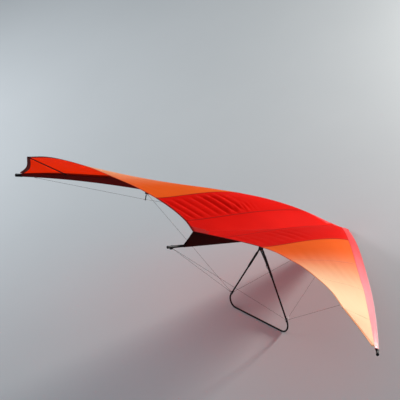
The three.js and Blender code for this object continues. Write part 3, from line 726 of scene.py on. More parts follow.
# each part of the cloth: where it starts across the mesh, and its share of the mesh
LOWER_PART = (0.0, 0.2)
ROUND_PART = (0.2, 0.4)
TOP_PART = (0.6, 0.2)
BAND_PART = (0.8, 0.2)
# Up to here across the pocket, the cloth is painted dark as shade.
PAINTED_SHADE_TO = 0.38


def along_part(v, part):
    start, length = part
    return (v - start) / length


def pocket_spot(u, v):
    side = from_table(POCKET_STATIONS, u)
    centre = Vector((edge_aft(side), side, edge_up(side)))
    axis = edge_axis(side)
    low_seam = sail_place(side, edge_chord(side, pocket_width(side)), -POCKET_SEAM_DROP)
    out = low_seam - centre
    out = (out - axis * out.dot(axis)).normalized()
    across = axis.cross(out)
    if across.z < 0:
        across.negate()

    def on_tube(angle):
        return centre + POCKET_RADIUS * (out * math.cos(angle) + across * math.sin(angle))

    if v < ROUND_PART[0]:
        return low_seam.lerp(on_tube(POCKET_LOWER_ANGLE), along_part(v, LOWER_PART))
    if v < TOP_PART[0]:
        sweep = POCKET_UPPER_ANGLE - POCKET_LOWER_ANGLE - 2 * math.pi
        return on_tube(POCKET_LOWER_ANGLE + sweep * (v - ROUND_PART[0]) / ROUND_PART[1])
    join = edge_chord(side, join_width(side))
    top_seam = sail_place(side, join, BAND_LIFT)
    if v < BAND_PART[0]:
        start = on_tube(POCKET_UPPER_ANGLE)
        leaving = out * math.sin(POCKET_UPPER_ANGLE) - across * math.cos(POCKET_UPPER_ANGLE)
        arriving = (sail_place(side, join + CHORD_STEP, BAND_LIFT) - top_seam).normalized()
        third = (top_seam - start).length / 3
        handles = (start, start + leaving * third, top_seam - arriving * third, top_seam)
        t = along_part(v, TOP_PART)
        weights = ((1 - t) ** 3, 3 * t * (1 - t) ** 2, 3 * t * t * (1 - t), t ** 3)
        return sum((point * weight for point, weight in zip(handles, weights)), Vector())
    end = edge_chord(side, band_width(side))
    return sail_place(side, join + (end - join) * (v - BAND_PART[0]) / BAND_PART[1], BAND_LIFT)


def pocket_cloth(u, v):
    return from_table(POCKET_STATIONS, u), POCKET_MAP_WIDTH * v


def cut_opening(bm, inside):
    """Deletes the faces whose middle, in the cloth's own map, is inside the opening."""
    uv = bm.loops.layers.uv["cloth"]
    cut_out = []
    for face in bm.faces:
        middle = [sum(loop[uv].uv[k] for loop in face.loops) / 4 for k in (0, 1)]
        if inside(*middle):
            cut_out.append(face)
    bmesh.ops.delete(bm, geom=cut_out, context="FACES")


bm = bmesh.new()
grid_on(bm, *POCKET_MESH, pocket_spot, pocket_cloth, lambda u, v: 0 if v > PAINTED_SHADE_TO else 1)
cut_opening(bm, lambda along, across: OPENING_FROM < along < OPENING_TO
            and OPENING_ACROSS[0] < across < OPENING_ACROSS[1])
for cloth in cloth_pair("edge_pocket", bm, (red_edge, pocket_under_painted_shade), "red_sail",
                        "leading_edge_pocket", offset=-1, inner_material=1):
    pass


# Hems and seams: the free edges are folded over a tape and sewn down twice, and the widths of
# cloth are lapped and sewn with two rows of zigzag.
HEM_WIDTH = 0.040
TIP_HEM_WIDTH = 0.080
HEM_WIDENS_OVER = 0.01
HEM_LIFT = 0.0016
HEM_TURN = 9
HEM_EDGE = 0.05
HEM_OVER = 0.0012
HEM_ROWS_MESH = 12
SEAM_WIDTH = 0.017
SEAM_LIFT = 0.0013
SEAM_MESH = (70, 2)
TAPE_THICKNESS = 0.0006
ZIGZAG_WIDTH = 0.003
THREAD_HALF = 0.0009
THREAD_RELIEF = 0.0004


def stitch_group():
    rows = ("First row", "Second row")
    group, taken, given = effect_group("sewn rows", (*rows, "Stitch length"), ("Thread",))
    along, across = cloth_map(group)[:2]
    steps = calc(group, "DIVIDE", along, taken.outputs["Stitch length"])
    swing = calc(group, "SUBTRACT", calc(group, "PINGPONG", steps, 1.0), 0.5)
    line = calc(group, "ADD", across, calc(group, "MULTIPLY", swing, ZIGZAG_WIDTH))
    off = [calc(group, "ABSOLUTE", calc(group, "SUBTRACT", line, taken.outputs[row])) for row in rows]
    share = calc(group, "DIVIDE", calc(group, "MINIMUM", *off), THREAD_HALF)
    group.links.new(calc(group, "SUBTRACT", 1.0, share, clamp=True), given.inputs["Thread"])
    return group


sewn_rows = stitch_group()


def sewn_cloth(name, colour, shade, thread, rows, stitch=0.006, **cloth):
    material = sailcloth(name, colour, shade, **cloth)
    tree = material.node_tree
    shader = tree.nodes["Principled BSDF"]
    sewn = place(tree, "ShaderNodeGroup", {"First row": rows[0], "Second row": rows[1],
                 "Stitch length": stitch}, node_tree=sewn_rows).outputs["Thread"]
    plain = shader.inputs["Base Color"].links[0].from_socket
    tree.links.new(blend_colours(tree, sewn, plain, (*thread, 1)), shader.inputs["Base Color"])
    height = shader.inputs["Normal"].links[0].from_node.inputs["Height"]
    raised = calc(tree, "ADD", height.links[0].from_socket,
                  calc(tree, "MULTIPLY", sewn, THREAD_RELIEF))
    tree.links.new(raised, height)
    return material


HEM_ROWS = (0.006, 2 * HEM_WIDTH - 0.006)
SEAM_ROWS = (0.004, SEAM_WIDTH - 0.004)
# The orange hem pales towards the tip: a painted highlight, like the panels'.
PAINTED_GLARE_HEM = ((0.80, 0.30, 0.10), 2.2, 3.7)
# The red hem is painted dark red-brown as the shade along the trailing edge.
red_hem_painted_shade = sewn_cloth("red hem", (0.20, 0.004, 0.002), (0.14, 0.003, 0.001), (0.4, 0.02, 0.02),
                     HEM_ROWS, shine=0.03)
orange_hem = sewn_cloth("orange hem", (0.62, 0.050, 0.008), (0.48, 0.034, 0.006),
                        (0.2, 0.02, 0.01), HEM_ROWS, fade=PAINTED_GLARE_HEM)
# The hem's underside is painted dark as shade.
hem_under_painted_shade = sewn_cloth("dark red hem", (0.26, 0.008, 0.003), (0.18, 0.006, 0.002),
                      (0.3, 0.02, 0.01), HEM_ROWS, glow=0.3)
red_seam = sewn_cloth("red seam", (0.40, 0.005, 0.002), (0.30, 0.003, 0.001), (0.2, 0.01, 0.01),
                      SEAM_ROWS, shine=0.03)
orange_seam = sewn_cloth("orange seam", (0.80, 0.115, 0.016), (0.68, 0.09, 0.012),
                         (0.5, 0.06, 0.02), SEAM_ROWS, fade=PAINTED_GLARE_TIP)
under_seam = sewn_cloth("seam from below", (0.42, 0.010, 0.002), (0.32, 0.007, 0.001),
                        (0.5, 0.04, 0.02), SEAM_ROWS, glow=0.6)
HEM_RUNS = [
    # side from, side to, columns, cloth on top: 0 red, 1 orange
    (0.0, COLOUR_SEAM_SIDE, 60, 0),
    (COLOUR_SEAM_SIDE, TIP_CORNER_SIDE, 110, 1),
    (TIP_CORNER_SIDE, TIP_CLOTH_END - 0.01, 30, 1),
]
SEAMS = [
    # side, cloth on top: 0 red, 1 orange
    (0.43, 0),
    (COLOUR_SEAM_SIDE, 0),
    (2.11, 1),
    (2.95, 1),
]


def hem_width(side):
    widened = smooth_step(side, TIP_CORNER_SIDE - HEM_WIDENS_OVER, TIP_CORNER_SIDE)
    return HEM_WIDTH + (TIP_HEM_WIDTH - HEM_WIDTH) * widened


def hem_spot(side, across):
    inboard = hem_width(side) * abs(1 - 2 * across)
    lift = HEM_LIFT * min(1, max(-1, (1 - 2 * across) * HEM_TURN))
    over = HEM_OVER if abs(1 - 2 * across) < HEM_EDGE else 0
    return sail_place(side, 1 - (inboard - over) / chord_length(side), lift)


def hem_run(side_from, side_to, finish):
    """Places, cloth map and materials of one run of the hem, dark on its underside."""
    def spot(u, v):
        return hem_spot(side_from + (side_to - side_from) * u, v)

    def cloth_place(u, v):
        return side_from + (side_to - side_from) * u, 2 * HEM_WIDTH * v

    return spot, cloth_place, lambda u, v: 2 if v > 0.5 else finish


def seam_run(seam_side, lift):
    def spot(u, v):
        side = seam_side + SEAM_WIDTH * (v - 0.5)
        first = edge_chord(side, band_width(side) if lift > 0 else pocket_width(side))
        last = 1 - HEM_WIDTH / chord_length(side)
        return sail_place(side, first + (last - first) * u, lift)

    return spot, lambda u, v: (u * chord_length(seam_side), v * SEAM_WIDTH)


bm = bmesh.new()
for side_from, side_to, columns, finish in HEM_RUNS:
    grid_on(bm, columns, HEM_ROWS_MESH, *hem_run(side_from, side_to, finish))
bmesh.ops.reverse_faces(bm, faces=bm.faces)
cloth_pair("trailing_edge_hem", bm, (red_hem_painted_shade, orange_hem, hem_under_painted_shade), "orange_sail",
           thickness=TAPE_THICKNESS)

bm = bmesh.new()
for seam_side, finish in SEAMS:
    for lift in (SEAM_LIFT, -SEAM_LIFT):
        grid_on(bm, *SEAM_MESH, *seam_run(seam_side, lift), finish if lift > 0 else 2)
cloth_pair("panel_seams", bm, (red_seam, orange_seam, under_seam), "orange_sail",
           thickness=TAPE_THICKNESS)


# Tip battens: a stiff batten lies in a pocket sewn under the cloth from the leading edge
# pocket to the corner of the trailing edge. The pocket is painted dark maroon as shade.
BATTEN_POCKET_WIDTH = 0.036
BATTEN_DEPTH = 0.008
BATTEN_DROP = 0.0012
BATTEN_END = 0.995
BATTEN_MESH = (60, 10)
BATTEN_CLOTH = 0.0008


def batten_spot(u, v):
    side = BATTEN_FRONT_SIDE + BATTEN_SLANT * u + BATTEN_POCKET_WIDTH * (v - 0.5)
    first = edge_chord(side, pocket_width(side))
    crown = 1 - (2 * v - 1) ** 2
    return sail_place(side, first + (BATTEN_END - first) * u, -BATTEN_DROP - BATTEN_DEPTH * crown)


bm = bmesh.new()
grid_on(bm, *BATTEN_MESH, batten_spot, lambda u, v: (u, v * BATTEN_POCKET_WIDTH))
cloth_pair("batten_pocket", bm, (maroon_cloth,), "batten", "tip_batten", thickness=BATTEN_CLOTH)


# Keel pocket: a fin of cloth wraps the keel tube and is sewn to the middle of the sail,
# open below where the brackets of the crossbar and the control bar reach the keel. Its cloth is
# painted dark maroon as the shade under the sail.
KEEL_CLOTH_RADIUS = 0.0238
FIN_FROM = 0.420
FIN_TO = 3.840
FIN_SEAM_TO = 3.700
FIN_OPENING = (2.005, 2.207)
FIN_OPENING_HALF = 0.13
FIN_STATIONS = [(0.0, FIN_FROM), (0.45, FIN_OPENING[0]), (0.51, FIN_OPENING[1]), (1.0, FIN_TO)]
FIN_MESH = (200, 60)
FIN_MAP_WIDTH = 0.4
FIN_SEAM_DROP = 0.0022
FIN_HALF_GAP = 0.0008
FIN_RIPPLE = 0.003
WRAP_FROM = 0.3
WRAP_HALF = 0.2
WRAP_LIMIT = 0.95


def fin_spot(u, v):
    low = from_table(FIN_STATIONS, u)
    top = FIN_FROM + (FIN_SEAM_TO - FIN_FROM) * (low - FIN_FROM) / (FIN_TO - FIN_FROM)
    root = sail_place(0, top / back_point(0).x, -FIN_SEAM_DROP)
    leaving = math.acos(min(WRAP_LIMIT, KEEL_CLOTH_RADIUS / root.z))
    hand = -1 if v < 0.5 else 1
    if WRAP_FROM < v < 1 - WRAP_FROM:
        angle = hand * (leaving + (math.pi - leaving) * (1 - abs(v - 0.5) / WRAP_HALF))
        return Vector((low, KEEL_CLOTH_RADIUS * math.sin(angle), KEEL_CLOTH_RADIUS * math.cos(angle)))
    tube = Vector((low, hand * KEEL_CLOTH_RADIUS * math.sin(leaving),
                   KEEL_CLOTH_RADIUS * math.cos(leaving)))
    share = min(v, 1 - v) / WRAP_FROM
    spot = (root + Vector((0, hand * FIN_HALF_GAP, 0))).lerp(tube, share)
    spot.y += hand * FIN_RIPPLE * math.sin(math.pi * share) * math.sin(9 * low + 3 * share)
    return spot


bm = bmesh.new()
grid_on(bm, *FIN_MESH, fin_spot, lambda u, v: (from_table(FIN_STATIONS, u), FIN_MAP_WIDTH * v))
cut_opening(bm, lambda along, across: FIN_OPENING[0] < along < FIN_OPENING[1]
            and abs(across / FIN_MAP_WIDTH - 0.5) < FIN_OPENING_HALF)
fin = keep(bm, "keel_fin", maroon_cloth)
thicken(fin, CLOTH_THICKNESS, offset=1)
fit_on(fin, "frame", "maroon_cloth", "keel_pocket")


# Nose cover: a cap of red cloth over the nose plates. It turns under them in front, and its
# back lies on the sail and is cut shorter at the sides.
COVER_HALF = 0.172
COVER_FRONT = -0.0265
COVER_DEEP = 0.0305
COVER_BACK = 0.27
COVER_SWEEP = 0.814
COVER_SET_FORWARD = 0.058
COVER_FLARE = 0.022
COVER_FLARE_FROM = 0.10
COVER_CORNER_CUT = 0.35
COVER_LIFT = 0.0045
COVER_TUCK = 0.045
COVER_LOW_ROUND = (0.006, 0.002)
COVER_TOP_ROUND = 0.007
COVER_MESH = (64, 60)
COVER_MAP_WIDTH = 0.4


def cover_spot(u, v):
    side = COVER_HALF * (2 * u - 1)
    out = abs(side)
    flare = COVER_FLARE * smooth_step(out, COVER_FLARE_FROM, COVER_HALF)
    front = max(COVER_FRONT, COVER_SWEEP * out - COVER_SET_FORWARD + flare)
    back = front + COVER_BACK * (1 - COVER_CORNER_CUT * (out / COVER_HALF) ** 2)

    def above_sail(aft):
        if aft <= edge_aft(out):
            return COVER_DEEP
        chord = (aft - edge_aft(out)) / chord_length(out)
        return max(COVER_DEEP, sail_place(out, chord, COVER_LIFT).z)

    profile = [Vector((front + COVER_TUCK, 0, -COVER_DEEP)),
               Vector((front + COVER_LOW_ROUND[0], 0, -COVER_DEEP + COVER_LOW_ROUND[1])),
               Vector((front, 0, 0)), Vector((front + COVER_TOP_ROUND, 0, COVER_DEEP))]
    for share in (0.3, 0.55, 0.8, 1.0):
        aft = front + (back - front) * share
        profile.append(Vector((aft, 0, above_sail(aft))))
    spot = spline(profile)(v)
    return Vector((spot.x, side, spot.z))


bm = bmesh.new()
grid_on(bm, *COVER_MESH, cover_spot, lambda u, v: (u * 2 * COVER_HALF, COVER_MAP_WIDTH * v))
nose_cover = keep(bm, "nose_cover", red_cover)
thicken(nose_cover, CLOTH_THICKNESS, offset=1)
fit_on(nose_cover, "frame", "red_sail")


# Bolts: plated steel hexagon bolts with a washer under each head and each nut. They clamp the nose
# plates to the tubes, and cross the cheeks of the control bar's bracket at the control frame's
# apex and at the hang pin.
SHARP_EDGE = math.radians(35)
HEX_HEAD = 0.0065
WASHER = 0.0095
WASHER_THICKNESS = 0.0012
HEAD_HEIGHT = 0.0048
THREAD_OUT = 0.0030
BOLT_RADIUS = 0.003
THICK_BOLT = 0.004
BOLT_BEVEL = 0.0004


def along_axis(direction):
    return Vector(direction).normalized().to_track_quat("Z", "Y").to_matrix().to_4x4()


def rod(bm, start, end, radius, sides=24, end_radius=None):
    """A round bar between two places in the row frame."""
    run = end - start
    turn = Matrix.Translation((start + end) / 2) @ along_axis(run)
    far_radius = radius if end_radius is None else end_radius
    return bmesh.ops.create_cone(bm, cap_ends=True, cap_tris=False, segments=sides, radius1=radius,
                                 radius2=far_radius, depth=run.length, matrix=turn)["verts"]


def soften(bm, width, segments=2):
    sharp = [edge for edge in bm.edges
             if len(edge.link_faces) == 2 and edge.calc_face_angle() > SHARP_EDGE]
    bmesh.ops.bevel(bm, geom=sharp, offset=width, offset_type="OFFSET", segments=segments,
                    profile=0.5, affect="EDGES", clamp_overlap=True, material=-1)


def bolt(bm, head, tail, radius=BOLT_RADIUS):
    """A bolt whose washers lie at the two places given, with its head outside the first."""
    out = (head - tail).normalized()
    washer, hexagon, thread = (out * WASHER_THICKNESS, out * (WASHER_THICKNESS + HEAD_HEIGHT),
                               out * (THREAD_OUT + HEAD_HEIGHT))
    rod(bm, head, head + washer, WASHER)
    rod(bm, head + washer, head + hexagon, HEX_HEAD, sides=6)
    rod(bm, tail - washer, tail, WASHER)
    rod(bm, tail - hexagon, tail - washer, HEX_HEAD, sides=6)
    rod(bm, tail - thread, tail - hexagon, radius, sides=16)


def fastened(name, bm, material, bevel=BOLT_BEVEL, replaced=()):
    soften(bm, bevel)
    obj = keep(bm, name, material, smooth=False)
    fit_on(obj, "frame", "plate", *replaced)


APEX = (2.059, 0.0, -0.1345)
PLATE_TOP = 0.0268
PLATE_BOTTOM = -0.0263
CHEEK_SIDE = 0.026
NOSE_BOLTS = [
    # aft, side
    (0.045, 0.000),
    (0.130, 0.000),
    (0.0505, 0.062),
    (0.0815, 0.100),
]
bm = bmesh.new()
for aft, side in NOSE_BOLTS:
    for hand in ((1, -1) if side else (1,)):
        bolt(bm, flight(aft, hand * side, PLATE_TOP), flight(aft, hand * side, PLATE_BOTTOM))
for up in (APEX[2], HANG_PIN[2]):
    bolt(bm, flight(APEX[0], CHEEK_SIDE, up), flight(APEX[0], -CHEEK_SIDE, up), THICK_BOLT)
fastened("frame_bolts", bm, steel_bolt)


# Crossbar brackets: milled blocks with rounded edges. One hangs under the keel, one under each
# leading edge, and a plug in each end of the crossbar's tubes is bolted to them.
CROSSBAR_AFT = 2.150
CROSSBAR_DROP = 0.052
EDGE_BRACKET_TOP = 0.0144
EDGE_BRACKET_SIZE = (0.046, 0.070, 0.062)
EDGE_BOLT_REACH = 0.0235
EDGE_BOLT_SPACING = 0.024
EDGE_BOLT_UP = 0.012
CENTRE_BRACKET_SIZE = (0.070, 0.070, 0.060)
CENTRE_BRACKET_TOP = -0.0223
CENTRE_BOLT_REACH = 0.036
CENTRE_BOLT_SPACING = 0.022
BLOCK_BEVEL = 0.003
SLOT_MARGIN = 0.011
SLOT_DEPTH = 0.0035
PLUG_RADIUS = 0.017
PLUG_REACH = 0.075
PLUG_BURIED = 0.004
INNER_PLUG_LENGTH = 0.030
OUTER_PLUG_GAP = 0.020
INNER_PLUG_BOLT = 0.075
OUTER_PLUG_BOLT = 0.110
PLUG_BOLT_REACH = 0.0255
HANDS = ((1, "left"), (-1, "right"))


def faces_among(bm, verts):
    """The faces whose corners are all among the vertices given, in the mesh's own order."""
    own = set(verts)
    return [face for face in bm.faces if all(vert in own for vert in face.verts)]


def milled_block(bm, size, centre, turn):
    """A block with a slot along its length, turned about the vertical; its edges are rounded
    afterwards.
    """
    spot = Matrix.Translation(flight(*centre))
    level = Matrix((turned(-1, 0, 0), turned(0, 1, 0), turned(0, 0, 1))).transposed().to_4x4()
    lay = spot @ level @ Matrix.Rotation(turn, 4, "Z")
    block = lay @ Matrix.Diagonal((*size, 1))
    made = bmesh.ops.create_cube(bm, size=1.0, matrix=block)["verts"]
    walls = [face for face in faces_among(bm, made)
             if abs(face.normal.dot(lay.to_3x3() @ Vector((1, 0, 0)))) > 0.9]
    bmesh.ops.recalc_face_normals(bm, faces=bm.faces)
    bmesh.ops.inset_individual(bm, faces=walls, thickness=SLOT_MARGIN, depth=-SLOT_DEPTH)
    return lay


bm = bmesh.new()
centre_up = CENTRE_BRACKET_TOP - CENTRE_BRACKET_SIZE[2] / 2
lay = milled_block(bm, CENTRE_BRACKET_SIZE, (CROSSBAR_AFT, 0, centre_up), 0)
soften(bm, BLOCK_BEVEL, 3)
for along in (-CENTRE_BOLT_SPACING, CENTRE_BOLT_SPACING):
    bolt(bm, lay @ Vector((CENTRE_BOLT_REACH, along, 0)),
         lay @ Vector((-CENTRE_BOLT_REACH, along, 0)), THICK_BOLT)
fastened("centre_bracket", bm, dark_plate, replaced=("crossbar_centre_bracket",))

junction_up = EDGE_BRACKET_TOP - EDGE_BRACKET_SIZE[2] / 2
junction_axis = edge_axis(EDGE_JUNCTION[1])
for hand, name in HANDS:
    bm = bmesh.new()
    lay = milled_block(bm, EDGE_BRACKET_SIZE,
                       (EDGE_JUNCTION[0], hand * EDGE_JUNCTION[1], junction_up),
                       hand * math.atan2(junction_axis.x, junction_axis.y))
    soften(bm, BLOCK_BEVEL, 3)
    for along in (-EDGE_BOLT_SPACING, EDGE_BOLT_SPACING):
        bolt(bm, lay @ Vector((EDGE_BOLT_REACH, along, EDGE_BOLT_UP)),
             lay @ Vector((-EDGE_BOLT_REACH, along, EDGE_BOLT_UP)), THICK_BOLT)
    fastened(f"edge_bracket_{name}", bm, dark_plate, replaced=(f"leading_edge_bracket_{name}",))
    bm = bmesh.new()
    inner_side = hand * (CENTRE_BRACKET_SIZE[1] / 2 - PLUG_BURIED)
    inner = flight(CROSSBAR_AFT, inner_side, -CROSSBAR_DROP)
    outer = flight(EDGE_JUNCTION[0], hand * EDGE_JUNCTION[1], junction_up)
    run = (outer - inner).normalized()
    rod(bm, inner, inner + run * INNER_PLUG_LENGTH, PLUG_RADIUS)
    rod(bm, outer - run * PLUG_REACH, outer - run * OUTER_PLUG_GAP, PLUG_RADIUS)
    square = run.cross(turned(0, 0, 1)).normalized()
    for spot in (inner + run * INNER_PLUG_BOLT, outer - run * OUTER_PLUG_BOLT):
        bolt(bm, spot + square * PLUG_BOLT_REACH, spot - square * PLUG_BOLT_REACH)
    fastened(f"crossbar_plugs_{name}", bm, plate_metal)


# Wire tang: a small milled block of dark anodised plate under the keel's tail, held by one bolt
# through the keel. The two rear stays end at it.
KEEL_TOP = 0.0222
TANG_AFT = 4.110
TANG_SIZE = (0.060, 0.024, 0.016)
TANG_BEVEL = 0.0015
bm = bmesh.new()
tang_up = CENTRE_BRACKET_TOP - TANG_SIZE[2] / 2
lay = milled_block(bm, TANG_SIZE, (TANG_AFT, 0, tang_up), 0)
soften(bm, TANG_BEVEL)
bolt(bm, flight(TANG_AFT, 0, KEEL_TOP), lay @ Vector((0, 0, -TANG_SIZE[2] / 2)))
fastened("wire_tang", bm, dark_plate, replaced=("tail_tang",))


# Wire ends: each stay is looped round a thimble and pressed into a swaged sleeve, and the
# thimble is held at a tang or fitting on the frame.
CORNER = (1.7955, 0.820, -1.461)
FITTING_BACK = 0.280
SWAGE_LENGTH = 0.024
SWAGE_RADIUS = 0.0044
SWAGE_TAPER = 0.92
THIMBLE_RADIUS = 0.0085
THIMBLE_WIRE = 0.0026
THIMBLE_ARC = 260
THIMBLE_STEPS = 8
THIMBLE_REACH = 0.026
SLEEVE_OVERLAP = 0.002
TOP_TIE_GAP = 0.010
LOW_TIE_GAP = 0.030
FOOT_TIE_GAP = 0.019
EDGE_BRACKET_BOTTOM = EDGE_BRACKET_TOP - EDGE_BRACKET_SIZE[2]
POST_SIDE = EDGE_JUNCTION[1] + 0.014
POST_TIE_UP = -0.158
NOSE_TIE = (0.070, 0.022, -0.0295)
TAIL_TIE = (4.080, 0.008, -0.0303)
SIDE_TIE = (EDGE_JUNCTION[0], EDGE_JUNCTION[1] - 0.014, EDGE_BRACKET_BOTTOM - 0.0025)
TIP_TIE_SIDE = 4.130
ROOT_TIE_SIDE = 0.230
EDGE_TIE_DROP = 0.030


def tube_through(bm, points, radius, sides=8):
    """A round wire bent smoothly through the places given in the row frame."""
    curve = bpy.data.curves.new("wire run", "CURVE")
    curve.dimensions = "3D"
    curve.bevel_depth = radius
    curve.bevel_resolution = sides // 4
    curve.resolution_u = 6
    curve.use_fill_caps = True
    run = curve.splines.new("NURBS")
    run.points.add(len(points) - 1)
    for point, spot in zip(run.points, points):
        point.co = (*spot, 1)
    run.order_u = 3
    run.use_endpoint_u = True
    holder = bpy.data.objects.new("wire run", curve)
    shape = bpy.data.meshes.new_from_object(holder)
    bm.from_mesh(shape)
    bpy.data.meshes.remove(shape)
    bpy.data.objects.remove(holder)
    bpy.data.curves.remove(curve)


def wire_end(bm, tie, far, square_to):
    """A thimble at the tie and a sleeve behind it, on the way to the wire's far end."""
    run = (far - tie).normalized()
    across = run.cross(square_to).normalized()
    loop = []
    for step in range(THIMBLE_STEPS + 1):
        angle = math.radians(-THIMBLE_ARC / 2 + THIMBLE_ARC * step / THIMBLE_STEPS)
        loop.append(tie + THIMBLE_RADIUS * (-run * math.cos(angle) + across * math.sin(angle)))
    neck = tie + run * THIMBLE_REACH
    legs = across * SLEEVE_OVERLAP
    tube_through(bm, [neck - legs, *loop, neck + legs], THIMBLE_WIRE)
    rod(bm, neck - run * SLEEVE_OVERLAP, neck + run * SWAGE_LENGTH, SWAGE_RADIUS,
        end_radius=SWAGE_RADIUS * SWAGE_TAPER)


def on_hand(hand, spot):
    return flight(spot[0], hand * spot[1], spot[2])


apex, corner = Vector(APEX), Vector(CORNER)
fitting = apex + (corner - apex) * (1 - FITTING_BACK / (corner - apex).length)
for hand, name in HANDS:
    bm = bmesh.new()
    low = on_hand(hand, fitting)
    upright = (on_hand(hand, corner) - on_hand(hand, apex)).normalized()
    for tie in (NOSE_TIE, TAIL_TIE, SIDE_TIE):
        end = on_hand(hand, tie)
        run = (low - end).normalized()
        square_to = turned(1, 0, 0) if tie is SIDE_TIE else turned(0, 0, 1)
        wire_end(bm, end + run * TOP_TIE_GAP, low, square_to)
        wire_end(bm, low - run * LOW_TIE_GAP, end, upright)
    foot = on_hand(hand, (EDGE_JUNCTION[0], POST_SIDE, POST_TIE_UP))
    for side in (TIP_TIE_SIDE, ROOT_TIE_SIDE):
        end = on_hand(hand, (edge_aft(side), side, edge_up(side) - EDGE_TIE_DROP))
        run = (foot - end).normalized()
        wire_end(bm, end + run * TOP_TIE_GAP, foot, turned(0, 0, 1))
        wire_end(bm, foot - run * FOOT_TIE_GAP, end, turned(0, 0, 1))
    bmesh.ops.recalc_face_normals(bm, faces=bm.faces)
    fit_on(keep(bm, f"wire_ends_{name}", steel_bolt), "frame", "wire")


# Grips: moulded black rubber sleeves with ribs. They are slid over the uprights from the top and
# hold by their own tightness.
GRIP_FROM = 0.170
GRIP_LENGTH = 0.380
GRIP_RADIUS = 0.0186
GRIP_WALL = 0.0035
GRIP_RIBS = 30
GRIP_STEPS = 4 * GRIP_RIBS
GRIP_TURN_STEPS = 32
RIB_HEIGHT = 0.0006
GRIP_LIP = 0.0022
for hand, name in HANDS:
    start, end = flight(*APEX), on_hand(hand, CORNER)
    bm = bmesh.new()
    outline = []
    for i in range(GRIP_STEPS + 1):
        along = GRIP_FROM + GRIP_LENGTH * i / GRIP_STEPS
        swell = RIB_HEIGHT * math.sin(2 * math.pi * GRIP_RIBS * i / GRIP_STEPS)
        shrink = GRIP_LIP if i in (0, GRIP_STEPS) else 0
        outline.append(bm.verts.new((GRIP_RADIUS + swell - shrink, 0, along)))
    edges = [bm.edges.new(pair) for pair in zip(outline, outline[1:])]
    bmesh.ops.spin(bm, geom=outline + edges, cent=(0, 0, 0), axis=(0, 0, 1), angle=2 * math.pi,
                   steps=GRIP_TURN_STEPS, use_merge=True)
    lay = Matrix.Translation(start) @ along_axis((end - start).normalized())
    bmesh.ops.transform(bm, matrix=lay, verts=bm.verts)
    bmesh.ops.recalc_face_normals(bm, faces=bm.faces)
    grip = keep(bm, f"ribbed_grip_{name}", black_rubber)
    thicken(grip, GRIP_WALL, -1)
    fit_on(grip, "frame", "rubber", f"upright_grip_{name}")


# Deflexor posts stand in turned sockets under the leading edge brackets, and a bolt crosses each
# fitting that gathers the stays at the foot of the control frame.
SOCKET_RADIUS = 0.0125
SOCKET_LENGTH = 0.022
SOCKET_GAP = 0.0003
FOOT_UP = -0.166
FOOT_BELOW = 0.006
FOOT_ABOVE = 0.002
FOOT_RADIUS = SOCKET_RADIUS - 0.001
FITTING_BOLT_REACH = 0.0202
TURNED_BEVEL = 0.0006
for hand, name in HANDS:
    bm = bmesh.new()
    root = on_hand(hand, (EDGE_JUNCTION[0], POST_SIDE, EDGE_BRACKET_BOTTOM - SOCKET_GAP))
    rod(bm, root, root - turned(0, 0, SOCKET_LENGTH), SOCKET_RADIUS, sides=32)
    foot = on_hand(hand, (EDGE_JUNCTION[0], POST_SIDE, FOOT_UP))
    rod(bm, foot - turned(0, 0, FOOT_BELOW), foot + turned(0, 0, FOOT_ABOVE), FOOT_RADIUS, sides=32)
    low, reach = on_hand(hand, fitting), turned(-FITTING_BOLT_REACH, 0, 0)
    bolt(bm, low + reach, low - reach, THICK_BOLT)
    fastened(f"turned_fittings_{name}", bm, steel_bolt, TURNED_BEVEL)


# Hang strap: two plies of black nylon webbing sewn together, with an eye round the pin in the
# control bar's bracket and another round the carabiner, and a sewn keeper below each eye.
STRAP_LENGTH = 0.380
STRAP_HALF = 0.0175
STRAP_PLY = 0.0022
PLY_OFFSET = 0.0016
EYE_RADIUS = 0.0087
EYE_NECK = 0.024
EYE_ARC = (-40, 220)
STRAP_MESH = (240, 12)
STRAP_ROWS = (0.004, 2 * STRAP_HALF - 0.004)
MERGE_WITHIN = 0.00001
KEEPER_SIZE = (0.0088, 0.0385, 0.030)
KEEPER_DROP = 0.045
KEEPER_BEVEL = 0.0022
webbing = sewn_cloth("black webbing", (0.020, 0.020, 0.022), (0.011, 0.011, 0.012),
                     (0.16, 0.16, 0.17), STRAP_ROWS, stitch=0.004, roughness=0.7, glow=0.0, shine=0.3)
pin_centre = (pin_low + pin_high) / 2


def below_pin(x, y, z):
    return pin_centre + Vector((x, y, z))


def eye(centre_z, from_angle, to_angle):
    angles = [math.radians(from_angle + (to_angle - from_angle) * i / 8) for i in range(9)]
    return [Vector((EYE_RADIUS * math.cos(a), 0, centre_z + EYE_RADIUS * math.sin(a)))
            for a in angles]


top_eye = eye(0, *EYE_ARC)
low_eye = eye(-STRAP_LENGTH, *(angle + 180 for angle in EYE_ARC))
straight = [Vector((-PLY_OFFSET, 0, -EYE_NECK - (STRAP_LENGTH - 2 * EYE_NECK) * i / 6))
            for i in range(7)]
back_up = [Vector((-spot.x, 0, spot.z)) for spot in reversed(straight)]
strap_path = spline([*top_eye, *straight, *low_eye, *back_up, top_eye[0]])
strap_run = 2 * STRAP_LENGTH + 4 * EYE_RADIUS
bm = bmesh.new()
grid_on(bm, *STRAP_MESH, lambda u, v: strap_path(u) + Vector((0, STRAP_HALF * (2 * v - 1), 0)),
        lambda u, v: (u * strap_run, v * 2 * STRAP_HALF), lay=below_pin)
bmesh.ops.remove_doubles(bm, verts=bm.verts, dist=MERGE_WITHIN)
strap = keep(bm, "webbing_strap", webbing)
thicken(strap, STRAP_PLY)
fit_on(strap, "strap", "webbing", "hang_strap")

